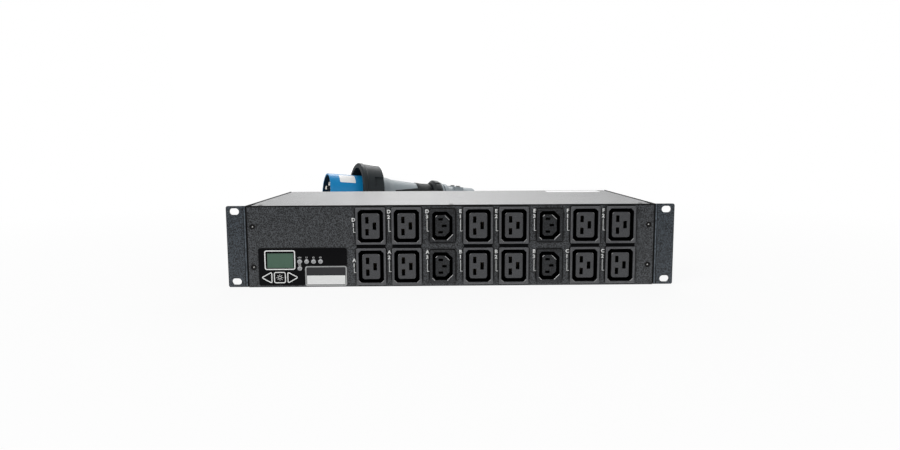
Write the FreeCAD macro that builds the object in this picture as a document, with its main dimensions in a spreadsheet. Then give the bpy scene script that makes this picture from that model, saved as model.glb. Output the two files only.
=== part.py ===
import FreeCAD, Part
import math
import os
import re
import Sketcher

# Rack power distribution unit, two rack units high, with its supply cord and industrial plug.
# Millimetres, +Z up, the outlets face -Y, and the origin lies on the base under the middle of the unit.

doc = FreeCAD.newDocument("RackPowerUnit")
Vector = FreeCAD.Vector

DIMENSIONS = [
    # Rack standard: width over the ears, height of two units, slots in the ears.
    ("rack_width", 482.6),
    ("unit_height", 88.9),
    ("slot_span", 465.1),
    ("slot_rise", 76.2),
    ("slot_length", 10.4),
    ("slot_width", 7.1),
    ("ear_sheet", 2.5),
    ("ear_leg", 24.0),
    ("ear_corner", 2.0),
    ("ear_lift", 0.8),
    # Sheet metal case.
    ("case_width", 440.0),
    ("case_depth", 220.0),
    ("tray_sheet", 1.5),
    ("cover_sheet", 1.2),
    ("cover_skirt", 14.0),
    ("cover_bend", 3.5),
    ("bend", 2.0),
    ("panel_sheet", 2.0),
    ("panel_gap", 0.4),
    ("skirt_gap", 1.5),
    ("tongue_lap", 3.0),
    ("flange_depth", 17.0),
    ("fit_gap", 0.2),
    # Outlets, in two rows of eight.
    ("outlet_pitch", 38.6),
    ("outlet_start", -86.9),
    ("row_low", 22.4),
    ("row_rise", 44.1),
    ("flange_proud", 2.5),
    ("flange_high", 39.4),
    ("flange_corner", 1.2),
    ("flange_bevel", 0.6),
    ("large_flange", 32.8),
    ("small_flange", 28.9),
    ("outlet_depth", 25.0),
    ("channel_depth", 19.0),
    ("nose_bevel", 0.5),
    ("outlet_body_high", 37.0),
    ("large_body", 29.4),
    ("small_body", 25.4),
    ("large_channel_wide", 26.0),
    ("large_channel_high", 35.0),
    ("large_nose_wide", 20.6),
    ("large_nose_high", 28.0),
    ("large_corner", 4.0),
    ("large_pin_rise", 6.5),
    ("large_pin_left", 3.8),
    ("large_earth_right", 4.2),
    ("large_slot_wide", 3.3),
    ("large_slot_high", 7.4),
    ("small_channel_wide", 21.8),
    ("small_channel_high", 30.6),
    ("small_channel_bevel", 6.0),
    ("small_nose_wide", 15.2),
    ("small_nose_high", 22.8),
    ("small_nose_bevel", 5.0),
    ("small_pin_rise", 7.0),
    ("small_pin_left", 2.0),
    ("small_earth_right", 2.1),
    ("small_slot_wide", 4.6),
    ("small_slot_high", 2.4),
    ("contact_gap", 0.15),
    ("contact_start", 9.0),
    ("contact_length", 14.0),
    ("contact_sheet", 0.6),
    ("contact_tail", 8.0),
    ("contact_floor", 2.0),
    # Screws.
    ("panel_screw_x", 213.7),
    ("panel_screw_low", 22.4),
    ("panel_screw_rise", 44.1),
    ("panel_head", 2.9),
    ("cover_screw_x", 206.4),
    ("cover_screw_back", 9.0),
    ("screw_head", 2.6),
    ("screw_core", 1.5),
    ("screw_length", 3.6),
    ("head_high", 1.2),
]
DIMENSIONS += [
    # Display: a gloss overlay on the panel, its window, keys and status lights.
    ("overlay_left", -208.0),
    ("overlay_right", -113.5),
    ("overlay_low", 2.5),
    ("overlay_top", 42.8),
    ("overlay_step_x", -158.7),
    ("overlay_step_z", 23.5),
    ("overlay_thick", 0.8),
    ("overlay_corner", 1.5),
    ("overlay_lap", 1.2),
    ("window_left", -199.3),
    ("window_low", 21.3),
    ("window_wide", 28.5),
    ("window_high", 16.4),
    ("screen_sunk", 0.5),
    ("key_low", 4.2),
    ("key_high", 13.8),
    ("key_left", -205.5),
    ("key_wide", 11.7),
    ("select_wide", 12.9),
    ("key_space", 1.6),
    ("key_corner", 0.6),
    ("key_point", 2.0),
    ("key_blunt", 1.6),
    ("key_foot", 1.2),
    ("stem_radius", 2.0),
    ("stem_clear", 0.2),
    ("key_gap", 0.4),
    ("key_proud", 0.4),
    ("key_travel", 0.6),
    ("light_left", -164.0),
    ("light_pitch", 7.5),
    ("light_row", 28.4),
    ("light_drop", 7.5),
    ("light_radius", 2.4),
    ("light_proud", 1.6),
    ("light_gap", 0.3),
    ("board_sheet", 1.6),
    ("board_back", 9.0),
    ("board_wide", 77.0),
    ("board_high", 34.0),
    ("board_low", 5.0),
    ("board_side", 5.0),
    ("spacer_inset", 3.2),
    ("spacer_step", 12.0),
    ("switch_size", 6.0),
    ("switch_high", 3.5),
    # Rear wall: breakers with rockers, network ports, cable gland.
    ("rear_stand_out", 8.0),
    ("breaker_start", -188.0),
    ("breaker_pitch", 24.0),
    ("breaker_wide", 20.0),
    ("breaker_high", 46.0),
    ("breaker_deep", 46.0),
    ("breaker_level", 44.0),
    ("bezel_thick", 2.5),
    ("bezel_lap", 1.5),
    ("guard_wide", 2.2),
    ("rocker_wide", 12.0),
    ("rocker_reach", 11.5),
    ("rocker_tip", 6.4),
    ("rocker_hollow", 2.0),
    ("rocker_gap", 0.5),
    ("rocker_tilt", 10.0),
    ("well_end", 1.7),
    ("well_deep", 12.0),
    ("guard_end", 3.0),
    ("guard_gap", 0.3),
    ("pivot_sunk", 2.0),
    ("pivot_play", 0.25),
    ("trunnion_radius", 1.6),
    ("trunnion_length", 1.4),
    ("network_left", 2.0),
    ("network_wide", 36.0),
    ("network_high", 18.0),
    ("network_low", 46.0),
    ("network_deep", 24.0),
    ("port_wide", 12.0),
    ("port_high", 8.4),
    ("port_deep", 13.0),
    ("gland_x", 170.0),
    ("gland_level", 36.0),
    ("gland_thread", 16.0),
    ("gland_flats", 42.0),
    ("gland_collar", 8.0),
    ("gland_nut_long", 22.0),
    ("gland_lead", 10.0),
    ("gland_tail", 2.0),
    ("gland_lip", 3.0),
    ("bore_play", 0.3),
    ("locknut_thick", 6.0),
    # Inside: supply terminals, bars on their supports, metering board with its sensors.
    ("terminal_wide", 60.0),
    ("terminal_deep", 34.0),
    ("terminal_high", 32.0),
    ("terminal_back", 52.0),
    ("way_radius", 5.0),
    ("way_level", 12.0),
    ("way_screw", 4.0),
    ("way_screw_level", 20.0),
    ("bar_left", -120.0),
    ("bar_long", 300.0),
    ("bar_high", 12.0),
    ("bar_thick", 3.0),
    ("bar_pitch", 20.0),
    ("bar_level", 26.0),
    ("bar_back", 62.0),
    ("support_wide", 14.0),
    ("support_high", 42.0),
    ("support_inset", 10.0),
    ("support_margin", 10.0),
    ("meter_wide", 150.0),
    ("meter_deep", 56.0),
    ("meter_left", -196.0),
    ("meter_back", 120.0),
    ("spacer_high", 8.0),
    ("spacer_radius", 3.0),
    ("sensor_size", 18.0),
    ("sensor_thick", 10.0),
    ("sensor_bore", 5.5),
    ("sensor_inset", 4.0),
    ("sensor_back", 10.0),
    # Supply cord, coil and tie.
    ("cord_diameter", 22.0),
    ("coil_x", 40.0),
    ("coil_back", 392.0),
    ("coil_inner", 107.0),
    ("coil_outer", 153.0),
    ("coil_high", 45.0),
    ("tie_wide", 16.0),
    ("tie_thick", 1.5),
    ("tie_play", 0.4),
    # Plug, measured along its axis from the mouth of the collar.
    ("plug_tip_x", -225.0),
    ("plug_tip_back", 543.0),
    ("plug_tip_z", 65.9),
    ("plug_yaw", 21.6),
    ("plug_dip", 5.35),
    ("plug_roll", 25.5),
    ("collar_radius", 35.5),
    ("collar_wall", 3.0),
    ("collar_length", 104.0),
    ("collar_floor", 46.0),
    ("collar_key", 8.0),
    ("collar_key_high", 2.5),
    ("collar_key_end", 4.0),
    ("ring_start", 56.4),
    ("ring_length", 40.3),
    ("ring_radius", 59.5),
    ("ring_rear_radius", 57.2),
    ("ring_inner", 51.0),
    ("ring_web", 5.0),
    ("ring_play", 0.4),
    ("ring_bead", 8.0),
    ("ring_edge", 1.5),
    ("notch_wide", 18.0),
    ("notch_deep", 3.2),
    ("notch_long", 18.0),
    ("pin_radius", 4.0),
    ("earth_radius", 5.0),
    ("pilot_radius", 3.0),
    ("pin_circle", 18.5),
    ("pin_length", 44.5),
    ("pilot_length", 30.0),
    ("body_radius", 36.0),
    ("body_waist", 28.0),
    ("body_lip", 1.5),
    ("body_end", 206.0),
    ("nut_radius", 37.0),
    ("nut_edge", 5.0),
    ("nut_end", 224.5),
    ("flute_radius", 4.0),
    ("flute_out", 2.0),
    ("clamp_radius", 27.0),
    ("clamp_end", 301.0),
    ("clamp_flange", 33.5),
    ("clamp_flange_thick", 4.0),
    ("clamp_neck", 29.0),
    ("clamp_neck_long", 3.0),
    ("clamp_shoulder", 31.5),
    ("clamp_shoulder_long", 10.0),
    ("clamp_edge", 3.0),
    ("lug_start", 253.0),
    ("lug_long", 17.0),
    ("lug_wide", 14.0),
    ("lug_out", 14.5),
    ("lug_rise", 1.0),
    ("lug_foot", 10.0),
    ("clamp_screw_core", 2.25),
    ("clamp_screw_long", 24.0),
    ("clamp_screw_head", 4.2),
    ("clamp_head_high", 2.4),
]

sheet = doc.addObject("Spreadsheet::Sheet", "Dims")
for row, (alias, number) in enumerate(DIMENSIONS, start=1):
    sheet.set(f"A{row}", alias)
    sheet.set(f"B{row}", str(number))
    sheet.setAlias(f"B{row}", alias)
doc.recompute()
NAMES = {alias for alias, _ in DIMENSIONS}


def on_sheet(found):
    word = found[0]
    return f"Dims.{word}" if word in NAMES else word


def formula(text):
    """Turn a size written in dimension names into an expression on the sheet."""
    return re.sub(r"[a-z][a-z0-9_]*", on_sheet, str(text))


def value(text):
    """The number that a size written in dimension names comes to."""
    return float(sheet.evalExpression(formula(text)))


def bind(thing, **sizes):
    for name, text in sizes.items():
        thing.setExpression(name, formula(text))
    return thing


def place(thing, x, y, z):
    """Tie the position of a piece to the sheet."""
    for axis, text in zip("xyz", (x, y, z)):
        thing.setExpression(f"Placement.Base.{axis}", formula(text))
    return thing


# The face of the panel; the unit is centred between its outlet flanges and its rear guards.
FRONT = "(flange_proud - case_depth - rear_stand_out) / 2"
REAR = f"({FRONT} + case_depth)"
WALL_FRONT = f"({FRONT} + panel_sheet)"
TRAY_HALF = "(case_width / 2 - cover_sheet - fit_gap)"
TRAY_TOP = "(unit_height - cover_sheet)"
ROW_TOP = "(row_low + row_rise)"


def box(name, wide, deep, high, x, y, z):
    solid = doc.addObject("Part::Box", name)
    bind(solid, Length=wide, Width=deep, Height=high)
    return place(solid, x, y, z)


TURNS = {
    "z": FreeCAD.Rotation(),
    "y": FreeCAD.Rotation(Vector(1, 0, 0), -90),
    "x": FreeCAD.Rotation(Vector(0, 1, 0), 90),
    "-x": FreeCAD.Rotation(Vector(0, 1, 0), -90),
}


def rod(name, radius, length, x, y, z, along="z"):
    solid = doc.addObject("Part::Cylinder", name)
    solid.Placement = FreeCAD.Placement(Vector(), TURNS[along])
    bind(solid, Radius=radius, Height=length)
    return place(solid, x, y, z)


def hexagon(name, flats, length, x, y, z, along="z"):
    solid = doc.addObject("Part::Prism", name)
    solid.Polygon = 6
    solid.Placement = FreeCAD.Placement(Vector(), TURNS[along])
    bind(solid, Circumradius=f"{flats} / sqrt(3)", Height=length)
    return place(solid, x, y, z)


def fuse(name, *solids):
    joined = doc.addObject("Part::MultiFuse", name)
    joined.Shapes = list(solids)
    joined.Refine = True
    return joined


def cut(name, base, *tools):
    result = doc.addObject("Part::Cut", name)
    result.Base = base
    result.Tool = tools[0] if len(tools) == 1 else fuse(f"{name}_tools", *tools)
    return result


def group(name, solids):
    """Several loose solids of one kind as one piece list."""
    bundle = doc.addObject("Part::Compound", name)
    bundle.Links = list(solids)
    return bundle


def copy(name, original, x, y, z, turn=None):
    """Another of the same piece, set down elsewhere."""
    link = doc.addObject("App::Link", name)
    link.LinkedObject = original
    link.LinkTransform = False
    if turn is not None:
        link.Placement = FreeCAD.Placement(Vector(), turn)
    return place(link, x, y, z)


def new_body(name):
    return doc.addObject("PartDesign::Body", name)


def new_sketch(body, name, plane, lift="0"):
    sketch = body.newObject("Sketcher::SketchObject", name)
    support = [item for item in body.Origin.OriginFeatures if item.Role == plane][0]
    sketch.AttachmentSupport = [(support, "")]
    sketch.MapMode = "FlatFace"
    sketch.setExpression("AttachmentOffset.Base.z", formula(lift))
    return sketch


def fix(sketch, kind, text, *places):
    index = sketch.addConstraint(Sketcher.Constraint(kind, *places, value(text)))
    sketch.setExpression(f"Constraints[{index}]", formula(text))


def outline(sketch, corners):
    """A closed outline of straight sides through corners that the sheet places."""
    first = sketch.GeometryCount
    count = len(corners)
    spots = [Vector(value(x), value(y), 0) for x, y in corners]
    for i in range(count):
        sketch.addGeometry(Part.LineSegment(spots[i], spots[(i + 1) % count]), False)
    for i in range(count):
        following = first + (i + 1) % count
        sketch.addConstraint(Sketcher.Constraint("Coincident", first + i, 2, following, 1))
    for i, (x, y) in enumerate(corners):
        fix(sketch, "DistanceX", x, -1, 1, first + i, 1)
        fix(sketch, "DistanceY", y, -1, 1, first + i, 1)


def rectangle(sketch, left, low, wide, high):
    right = f"({left}) + ({wide})"
    top = f"({low}) + ({high})"
    outline(sketch, [(left, low), (right, low), (right, top), (left, top)])


def centred(sketch, x, y, wide, high):
    rectangle(sketch, f"({x}) - ({wide}) / 2", f"({y}) - ({high}) / 2", wide, high)


def circle(sketch, x, y, radius):
    round_edge = Part.Circle(Vector(value(x), value(y), 0), Vector(0, 0, 1), value(radius))
    index = sketch.addGeometry(round_edge, False)
    fix(sketch, "DistanceX", x, -1, 1, index, 3)
    fix(sketch, "DistanceY", y, -1, 1, index, 3)
    fix(sketch, "Radius", radius, index)


def pad(body, name, sketch, length, back=False, both=False):
    feature = body.newObject("PartDesign::Pad", name)
    feature.Profile = sketch
    feature.Reversed = back
    feature.Midplane = both
    bind(feature, Length=length)
    doc.recompute()
    return feature


def pocket(body, name, sketch, depth, back=False, both=False):
    """Cut into the body, and make sure that the cut met it."""
    before = body.Shape.Volume
    feature = body.newObject("PartDesign::Pocket", name)
    feature.Profile = sketch
    feature.Reversed = back
    feature.Midplane = both
    bind(feature, Length=depth)
    doc.recompute()
    if body.Shape.Volume >= before:
        raise RuntimeError(f"{name} cuts nothing")
    return feature


def revolve(body, name, corners):
    """Turn an outline of (radius, height) corners about the body's own Z axis."""
    sketch = new_sketch(body, f"{name}_outline", "XZ_Plane")
    outline(sketch, corners)
    feature = body.newObject("PartDesign::Revolution", name)
    feature.Profile = sketch
    feature.ReferenceAxis = (sketch, ["V_Axis"])
    feature.Angle = 360
    doc.recompute()
    return feature


def edge_names(body, wanted):
    return [f"Edge{i}" for i, edge in enumerate(body.Shape.Edges, start=1) if wanted(edge)]


def soften(body, name, kind, wanted, size):
    """Round or bevel the edges that a test picks out."""
    base = (body.Tip, edge_names(body, wanted))
    feature = body.newObject(f"PartDesign::{kind}", name)
    feature.Base = base
    bind(feature, **{"Radius" if kind == "Fillet" else "Size": size})
    doc.recompute()
    return feature


def runs_along(edge, axis):
    first, last = edge.Vertexes[0].Point, edge.Vertexes[-1].Point
    step = last.sub(first)
    return edge.Curve.TypeId == "Part::GeomLine" and abs(abs(step.dot(axis)) - step.Length) < 1e-6


X_AXIS, Y_AXIS, Z_AXIS = Vector(1, 0, 0), Vector(0, 1, 0), Vector(0, 0, 1)

COLUMNS = range(8)
SMALL_COLUMNS = (2, 5)
BANKS = (("d1", "d2", "d3", "e1", "e2", "e3", "f1", "f2"),
         ("a1", "a2", "a3", "b1", "b2", "b3", "c1", "c2"))


def column_x(column):
    return f"(outlet_start + {column} * outlet_pitch)"


def outlet_places():
    """Each outlet's name, whether it is the smaller kind, and its place on the panel."""
    for level, names in zip((ROW_TOP, "row_low"), BANKS):
        for column in COLUMNS:
            yield names[column], column in SMALL_COLUMNS, column_x(column), level


def outlet_openings(sketch):
    for _, small, x, z in outlet_places():
        wide = "small_body" if small else "large_body"
        centred(sketch, x, z, f"{wide} + 2 * fit_gap", "outlet_body_high + 2 * fit_gap")


def breaker_x(index):
    return f"(breaker_start + {index} * breaker_pitch)"


BREAKERS = "abcdef"
PANEL_SCREWS = [(f"{side} * panel_screw_x", z) for side in (-1, 1)
                for z in ("panel_screw_low", "panel_screw_low + panel_screw_rise")]
EAR_SCREWS = ("unit_height / 4", "unit_height * 3 / 4")
COVER_SCREWS = [f"{side} * cover_screw_x" for side in (-1, 0, 1)]
LIGHTS = [(f"light_left + {i} * light_pitch", "light_row") for i in range(4)]
LIGHTS.append(("light_left", "light_row - light_drop"))
KEYS = ("left_key", "select_key", "right_key")
DISPLAY_CUT = ("overlay_left + overlay_lap", "overlay_low + overlay_lap",
               "overlay_step_x - overlay_left - 2 * overlay_lap",
               "overlay_top - overlay_low - 2 * overlay_lap")


def make_tray():
    """Folded tray: floor, two sides, front and rear wall, and a flange that carries the cover."""
    body = new_body("chassis_tray")
    floor = new_sketch(body, "tray_floor", "XY_Plane")
    rectangle(floor, f"-{TRAY_HALF}", WALL_FRONT, f"2 * {TRAY_HALF}", "case_depth - panel_sheet")
    pad(body, "tray_block", floor, TRAY_TOP)
    soften(body, "tray_bends", "Fillet",
           lambda edge: edge.BoundBox.ZMax < 1e-6 and runs_along(edge, X_AXIS), "bend")
    top = max(range(len(body.Shape.Faces)), key=lambda i: body.Shape.Faces[i].CenterOfMass.z)
    base = (body.Tip, [f"Face{top + 1}"])
    shell = body.newObject("PartDesign::Thickness", "tray_walls")
    shell.Base = base
    shell.Reversed = True
    shell.Join = "Intersection"
    bind(shell, Value="tray_sheet")
    doc.recompute()
    lip = new_sketch(body, "tray_lip", "XY_Plane", TRAY_TOP)
    rectangle(lip, f"-{TRAY_HALF} + tray_sheet", f"{WALL_FRONT} + tray_sheet",
              f"2 * {TRAY_HALF} - 2 * tray_sheet", "flange_depth - tray_sheet")
    pad(body, "cover_flange", lip, "tray_sheet", back=True)
    front = new_sketch(body, "front_openings", "XZ_Plane", f"-{WALL_FRONT} - tray_sheet / 2")
    outlet_openings(front)
    rectangle(front, *DISPLAY_CUT)
    for x, z in LIGHTS[1:4]:
        circle(front, x, z, "light_radius + light_gap")
    for x, z in PANEL_SCREWS:
        circle(front, x, z, "screw_core + contact_gap")
    pocket(body, "front_wall_cuts", front, "tray_sheet * 2", both=True)
    rear = new_sketch(body, "rear_openings", "XZ_Plane", f"-{REAR} + tray_sheet / 2")
    for i in range(len(BREAKERS)):
        centred(rear, breaker_x(i), "breaker_level", "breaker_wide + fit_gap", "breaker_high + fit_gap")
    rectangle(rear, "network_left - fit_gap / 2", "network_low - fit_gap / 2",
              "network_wide + fit_gap", "network_high + fit_gap")
    circle(rear, "gland_x", "gland_level", "gland_thread + fit_gap")
    pocket(body, "rear_wall_cuts", rear, "tray_sheet * 2", both=True)
    holes = new_sketch(body, "cover_holes", "XY_Plane", TRAY_TOP)
    for x in COVER_SCREWS:
        circle(holes, x, f"{FRONT} + cover_screw_back", "screw_core + contact_gap")
    pocket(body, "cover_holes_cut", holes, "tray_sheet * 2", both=True)
    sides = new_sketch(body, "ear_holes", "YZ_Plane")
    for z in EAR_SCREWS:
        circle(sides, f"{FRONT} + ear_leg / 2", z, "screw_core + contact_gap")
    pocket(body, "ear_holes_cut", sides, "case_width", both=True)
    return body


def make_cover():
    """Lid with folded sides, which stand back from the front to clear the legs of the ears."""
    body = new_body("top_cover")
    profile = new_sketch(body, "cover_profile", "XZ_Plane", f"-{FRONT} - ear_leg - skirt_gap")
    half = "case_width / 2"
    low = "unit_height - cover_skirt"
    under = "unit_height - cover_sheet"
    inner = "(case_width / 2 - cover_sheet)"
    outline(profile, [(f"-{half}", low), (f"-{inner}", low), (f"-{inner}", under), (inner, under),
                      (inner, low), (half, low), (half, "unit_height"), (f"-{half}", "unit_height")])
    pad(body, "cover_sheet_run", profile, "case_depth - ear_leg - skirt_gap", back=True)
    soften(body, "cover_bends", "Fillet",
           lambda edge: runs_along(edge, Y_AXIS) and edge.BoundBox.ZMin > value("unit_height") - 1e-6,
           "cover_bend")
    front = new_sketch(body, "cover_front", "XY_Plane", "unit_height")
    rectangle(front, f"-{inner} + cover_bend", f"{WALL_FRONT} + panel_gap",
              f"2 * {inner} - 2 * cover_bend", "ear_leg - panel_sheet - panel_gap + tongue_lap")
    pad(body, "cover_tongue", front, "cover_sheet", back=True)
    holes = new_sketch(body, "cover_screw_holes", "XY_Plane", "unit_height")
    for x in COVER_SCREWS:
        circle(holes, x, f"{FRONT} + cover_screw_back", "screw_core + contact_gap")
    pocket(body, "cover_screw_cuts", holes, "cover_sheet * 3", both=True)
    return body


def make_panel():
    """Front panel with the openings for outlets, display and screws."""
    body = new_body("front_panel")
    face = new_sketch(body, "panel_face", "XZ_Plane", f"-{FRONT}")
    rectangle(face, "-case_width / 2 + panel_gap", "panel_gap", "case_width - 2 * panel_gap",
              "unit_height - panel_gap")
    pad(body, "panel_plate", face, "panel_sheet", back=True)
    cuts = new_sketch(body, "panel_openings", "XZ_Plane", f"-{FRONT}")
    outlet_openings(cuts)
    rectangle(cuts, *DISPLAY_CUT)
    for x, z in LIGHTS[1:4]:
        circle(cuts, x, z, "light_radius + light_gap")
    for x, z in PANEL_SCREWS:
        circle(cuts, x, z, "screw_core + contact_gap")
    pocket(body, "panel_cuts", cuts, "panel_sheet")
    sinks = new_sketch(body, "panel_sinks", "XZ_Plane", f"-{FRONT}")
    for x, z in PANEL_SCREWS:
        circle(sinks, x, z, "panel_head + fit_gap")
    pocket(body, "panel_sink_cuts", sinks, "head_high")
    return body


def make_ear(name, side):
    """Rack ear: a folded angle with two slots, its leg screwed to the side of the tray."""
    body = new_body(name)
    inner = f"{side} * ({TRAY_HALF} + fit_gap)"
    outer = f"{side} * rack_width / 2"
    leg_face = f"{side} * ({TRAY_HALF} + fit_gap + ear_sheet)"
    plan = new_sketch(body, f"{name}_plan", "XY_Plane", "ear_lift")
    start = f"{side} * (case_width / 2 + panel_gap / 2)"
    corners = [(start, FRONT), (outer, FRONT), (outer, f"{FRONT} + ear_sheet"),
               (leg_face, f"{FRONT} + ear_sheet"), (leg_face, f"{FRONT} + ear_leg"),
               (inner, f"{FRONT} + ear_leg"), (inner, f"{WALL_FRONT} + panel_gap"),
               (start, f"{WALL_FRONT} + panel_gap")]
    outline(plan, corners)
    pad(body, f"{name}_angle", plan, "unit_height - ear_lift")
    far = value("rack_width") / 2 - 1e-6
    soften(body, f"{name}_corners", "Fillet",
           lambda edge: runs_along(edge, Y_AXIS) and abs(edge.BoundBox.XMin) > far, "ear_corner")
    slots = new_sketch(body, f"{name}_slots", "XZ_Plane", f"-{FRONT}")
    for step in (-1, 1):
        level = f"(unit_height + ear_lift + {step} * slot_rise) / 2"
        stadium(slots, f"{side} * slot_span / 2", level, "slot_length", "slot_width")
    pocket(body, f"{name}_slot_cuts", slots, "ear_sheet")
    holes = new_sketch(body, f"{name}_holes", "YZ_Plane")
    for z in EAR_SCREWS:
        circle(holes, f"{FRONT} + ear_leg / 2", z, "screw_core + contact_gap")
    pocket(body, f"{name}_hole_cuts", holes, "rack_width", both=True)
    return body


def stadium(sketch, x, z, long, wide):
    """A slot with round ends, lying along the sketch's X axis."""
    radius = f"({wide}) / 2"
    left = f"({x}) - ({long}) / 2 + {radius}"
    right = f"({x}) + ({long}) / 2 - {radius}"
    low, high = f"({z}) - {radius}", f"({z}) + {radius}"
    spots = {key: Vector(value(a), value(b), 0) for key, (a, b) in
             {"ll": (left, low), "rl": (right, low), "rh": (right, high), "lh": (left, high)}.items()}
    first = sketch.GeometryCount
    size = value(radius)
    right_end = Part.Circle(Vector(value(right), value(z), 0), Z_AXIS, size)
    left_end = Part.Circle(Vector(value(left), value(z), 0), Z_AXIS, size)
    right_arc = Part.ArcOfCircle(right_end, -math.pi / 2, math.pi / 2)
    left_arc = Part.ArcOfCircle(left_end, math.pi / 2, 1.5 * math.pi)
    sketch.addGeometry([Part.LineSegment(spots["ll"], spots["rl"]), right_arc,
                        Part.LineSegment(spots["rh"], spots["lh"]), left_arc], False)
    for i in range(4):
        following = first + (i + 1) % 4
        sketch.addConstraint(Sketcher.Constraint("Tangent", first + i, 2, following, 1))
    fix(sketch, "DistanceX", left, -1, 1, first + 3, 3)
    fix(sketch, "DistanceY", z, -1, 1, first + 3, 3)
    fix(sketch, "DistanceX", right, -1, 1, first + 1, 3)
    fix(sketch, "Radius", radius, first + 1)


def make_screw(name, head):
    """Pan head screw along Z, its head above zero and its shank below."""
    body = new_body(name)
    shank = [("0", "-screw_length"), ("screw_core", "-screw_length"), ("screw_core", "0")]
    crown = [(head, "0"), (head, "head_high * 0.5"), (f"{head} * 0.7", "head_high"), ("0", "head_high")]
    revolve(body, f"{name}_turning", shank + crown)
    return body


def make_screws():
    """The screws of the panel, the cover and the ears, each kind as a set."""
    panel_screw = make_screw("panel_screw", "panel_head")
    case_screw = make_screw("case_screw", "screw_head")
    to_front = FreeCAD.Rotation(X_AXIS, 90)
    sunk = f"{FRONT} + head_high"
    panel = [copy(f"panel_screw_{i}", panel_screw, x, sunk, z, to_front)
             for i, (x, z) in enumerate(PANEL_SCREWS)]
    back = f"{FRONT} + cover_screw_back"
    cover = [copy(f"cover_screw_{i}", case_screw, x, back, "unit_height")
             for i, x in enumerate(COVER_SCREWS)]
    leg_face = f"({TRAY_HALF} + fit_gap + ear_sheet)"
    ears = []
    for name, side, turn in (("left", -1, "-x"), ("right", 1, "x")):
        for i, z in enumerate(EAR_SCREWS):
            ears.append(copy(f"ear_screw_{name}_{i}", case_screw, f"{side} * {leg_face}",
                             f"{FRONT} + ear_leg / 2", z, TURNS[turn]))
    return group("front_panel_screws", panel), group("cover_screws", cover), group("ear_screws", ears)


def at_height(edge, level):
    """True for an edge that lies flat at one depth behind the panel face."""
    return abs(edge.BoundBox.YMin - level) < 1e-6 and abs(edge.BoundBox.YMax - level) < 1e-6


def make_outlet(name, small):
    """Moulded outlet about its own centre: flange, body, channel round the nose, three slots."""
    kind = "small" if small else "large"
    body = new_body(name)
    flange = new_sketch(body, f"{name}_flange", "XZ_Plane")
    centred(flange, "0", "0", f"{kind}_flange", "flange_high")
    pad(body, f"{name}_plate", flange, "flange_proud")
    soften(body, f"{name}_plate_corners", "Fillet", lambda edge: runs_along(edge, Y_AXIS), "flange_corner")
    face = -value("flange_proud")
    soften(body, f"{name}_plate_bevel", "Chamfer", lambda edge: at_height(edge, face), "flange_bevel")
    back = new_sketch(body, f"{name}_back", "XZ_Plane")
    centred(back, "0", "0", f"{kind}_body", "outlet_body_high")
    pad(body, f"{name}_block", back, "outlet_depth", back=True)
    ring = new_sketch(body, f"{name}_ring", "XZ_Plane", "flange_proud")
    for part in ("channel", "nose"):
        half_wide = f"{kind}_{part}_wide / 2"
        half_high = f"{kind}_{part}_high / 2"
        bevel = f"small_{part}_bevel" if small else "large_corner"
        corners = [(f"-{half_wide}", f"-{half_high}"), (f"{half_wide} - {bevel}", f"-{half_high}"),
                   (half_wide, f"-{half_high} + {bevel}"), (half_wide, f"{half_high} - {bevel}"),
                   (f"{half_wide} - {bevel}", half_high), (f"-{half_wide}", half_high)]
        if not small:
            corners = [(half_wide, f"-{half_high}"), (half_wide, half_high),
                       (f"-{half_wide}", half_high), (f"-{half_wide}", f"-{half_high}")]
        outline(ring, corners)
    pocket(body, f"{name}_channel", ring, "channel_depth")
    if not small:
        half = (value("large_channel_wide") / 2 + 1e-6, value("large_channel_high") / 2 + 1e-6)
        soften(body, f"{name}_rounding", "Fillet",
               lambda edge: runs_along(edge, Y_AXIS) and edge.Length < value("channel_depth") + 1e-6
               and abs(edge.CenterOfMass.x) < half[0] and abs(edge.CenterOfMass.z) < half[1],
               "large_corner")
    reach = (value(f"{kind}_nose_wide") / 2 + 1e-6, value(f"{kind}_nose_high") / 2 + 1e-6)
    soften(body, f"{name}_nose_bevel", "Chamfer",
           lambda edge: at_height(edge, face) and abs(edge.CenterOfMass.x) < reach[0]
           and abs(edge.CenterOfMass.z) < reach[1], "nose_bevel")
    slots = new_sketch(body, f"{name}_slots", "XZ_Plane", "flange_proud")
    for x, z in pin_places(kind):
        centred(slots, x, z, f"{kind}_slot_wide", f"{kind}_slot_high")
    pocket(body, f"{name}_slot_cuts", slots, "flange_proud + outlet_depth")
    return body


def pin_places(kind):
    """Line, neutral and earth slots about the middle of an outlet."""
    return ((f"-{kind}_pin_left", f"{kind}_pin_rise"), (f"-{kind}_pin_left", f"-{kind}_pin_rise"),
            (f"{kind}_earth_right", "0"))


def make_contact(kind):
    """Sprung receptacle for one pin, with a tail for its wire."""
    wide = f"({kind}_slot_wide - 2 * contact_gap)"
    high = f"({kind}_slot_high - 2 * contact_gap)"
    sleeve = box(f"{kind}_sleeve", wide, "contact_length", high, f"-{wide} / 2", "0", f"-{high} / 2")
    tail_high = f"({high} - 2 * contact_sheet)"
    tail = box(f"{kind}_tail", "contact_sheet * 1.5", "contact_tail", tail_high,
               "-contact_sheet * 0.75", "contact_length", f"-{tail_high} / 2")
    mouth = box(f"{kind}_mouth", f"{wide} - 2 * contact_sheet", "contact_length - contact_floor", tail_high,
                f"-{wide} / 2 + contact_sheet", "0", f"-{tail_high} / 2")
    return cut(f"{kind}_contact", fuse(f"{kind}_contact_blank", sleeve, tail), mouth)


def key_span(index):
    """Left edge and width of a key; the select key in the middle is the widest."""
    second = "(key_left + key_wide + key_space)"
    third = f"({second} + select_wide + key_space)"
    return (("key_left", "key_wide"), (second, "select_wide"), (third, "key_wide"))[index]


KEY_LEVEL = "(key_low + key_high / 2)"


def key_x(index):
    start, wide = key_span(index)
    return f"({start} + {wide} / 2)"


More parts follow.
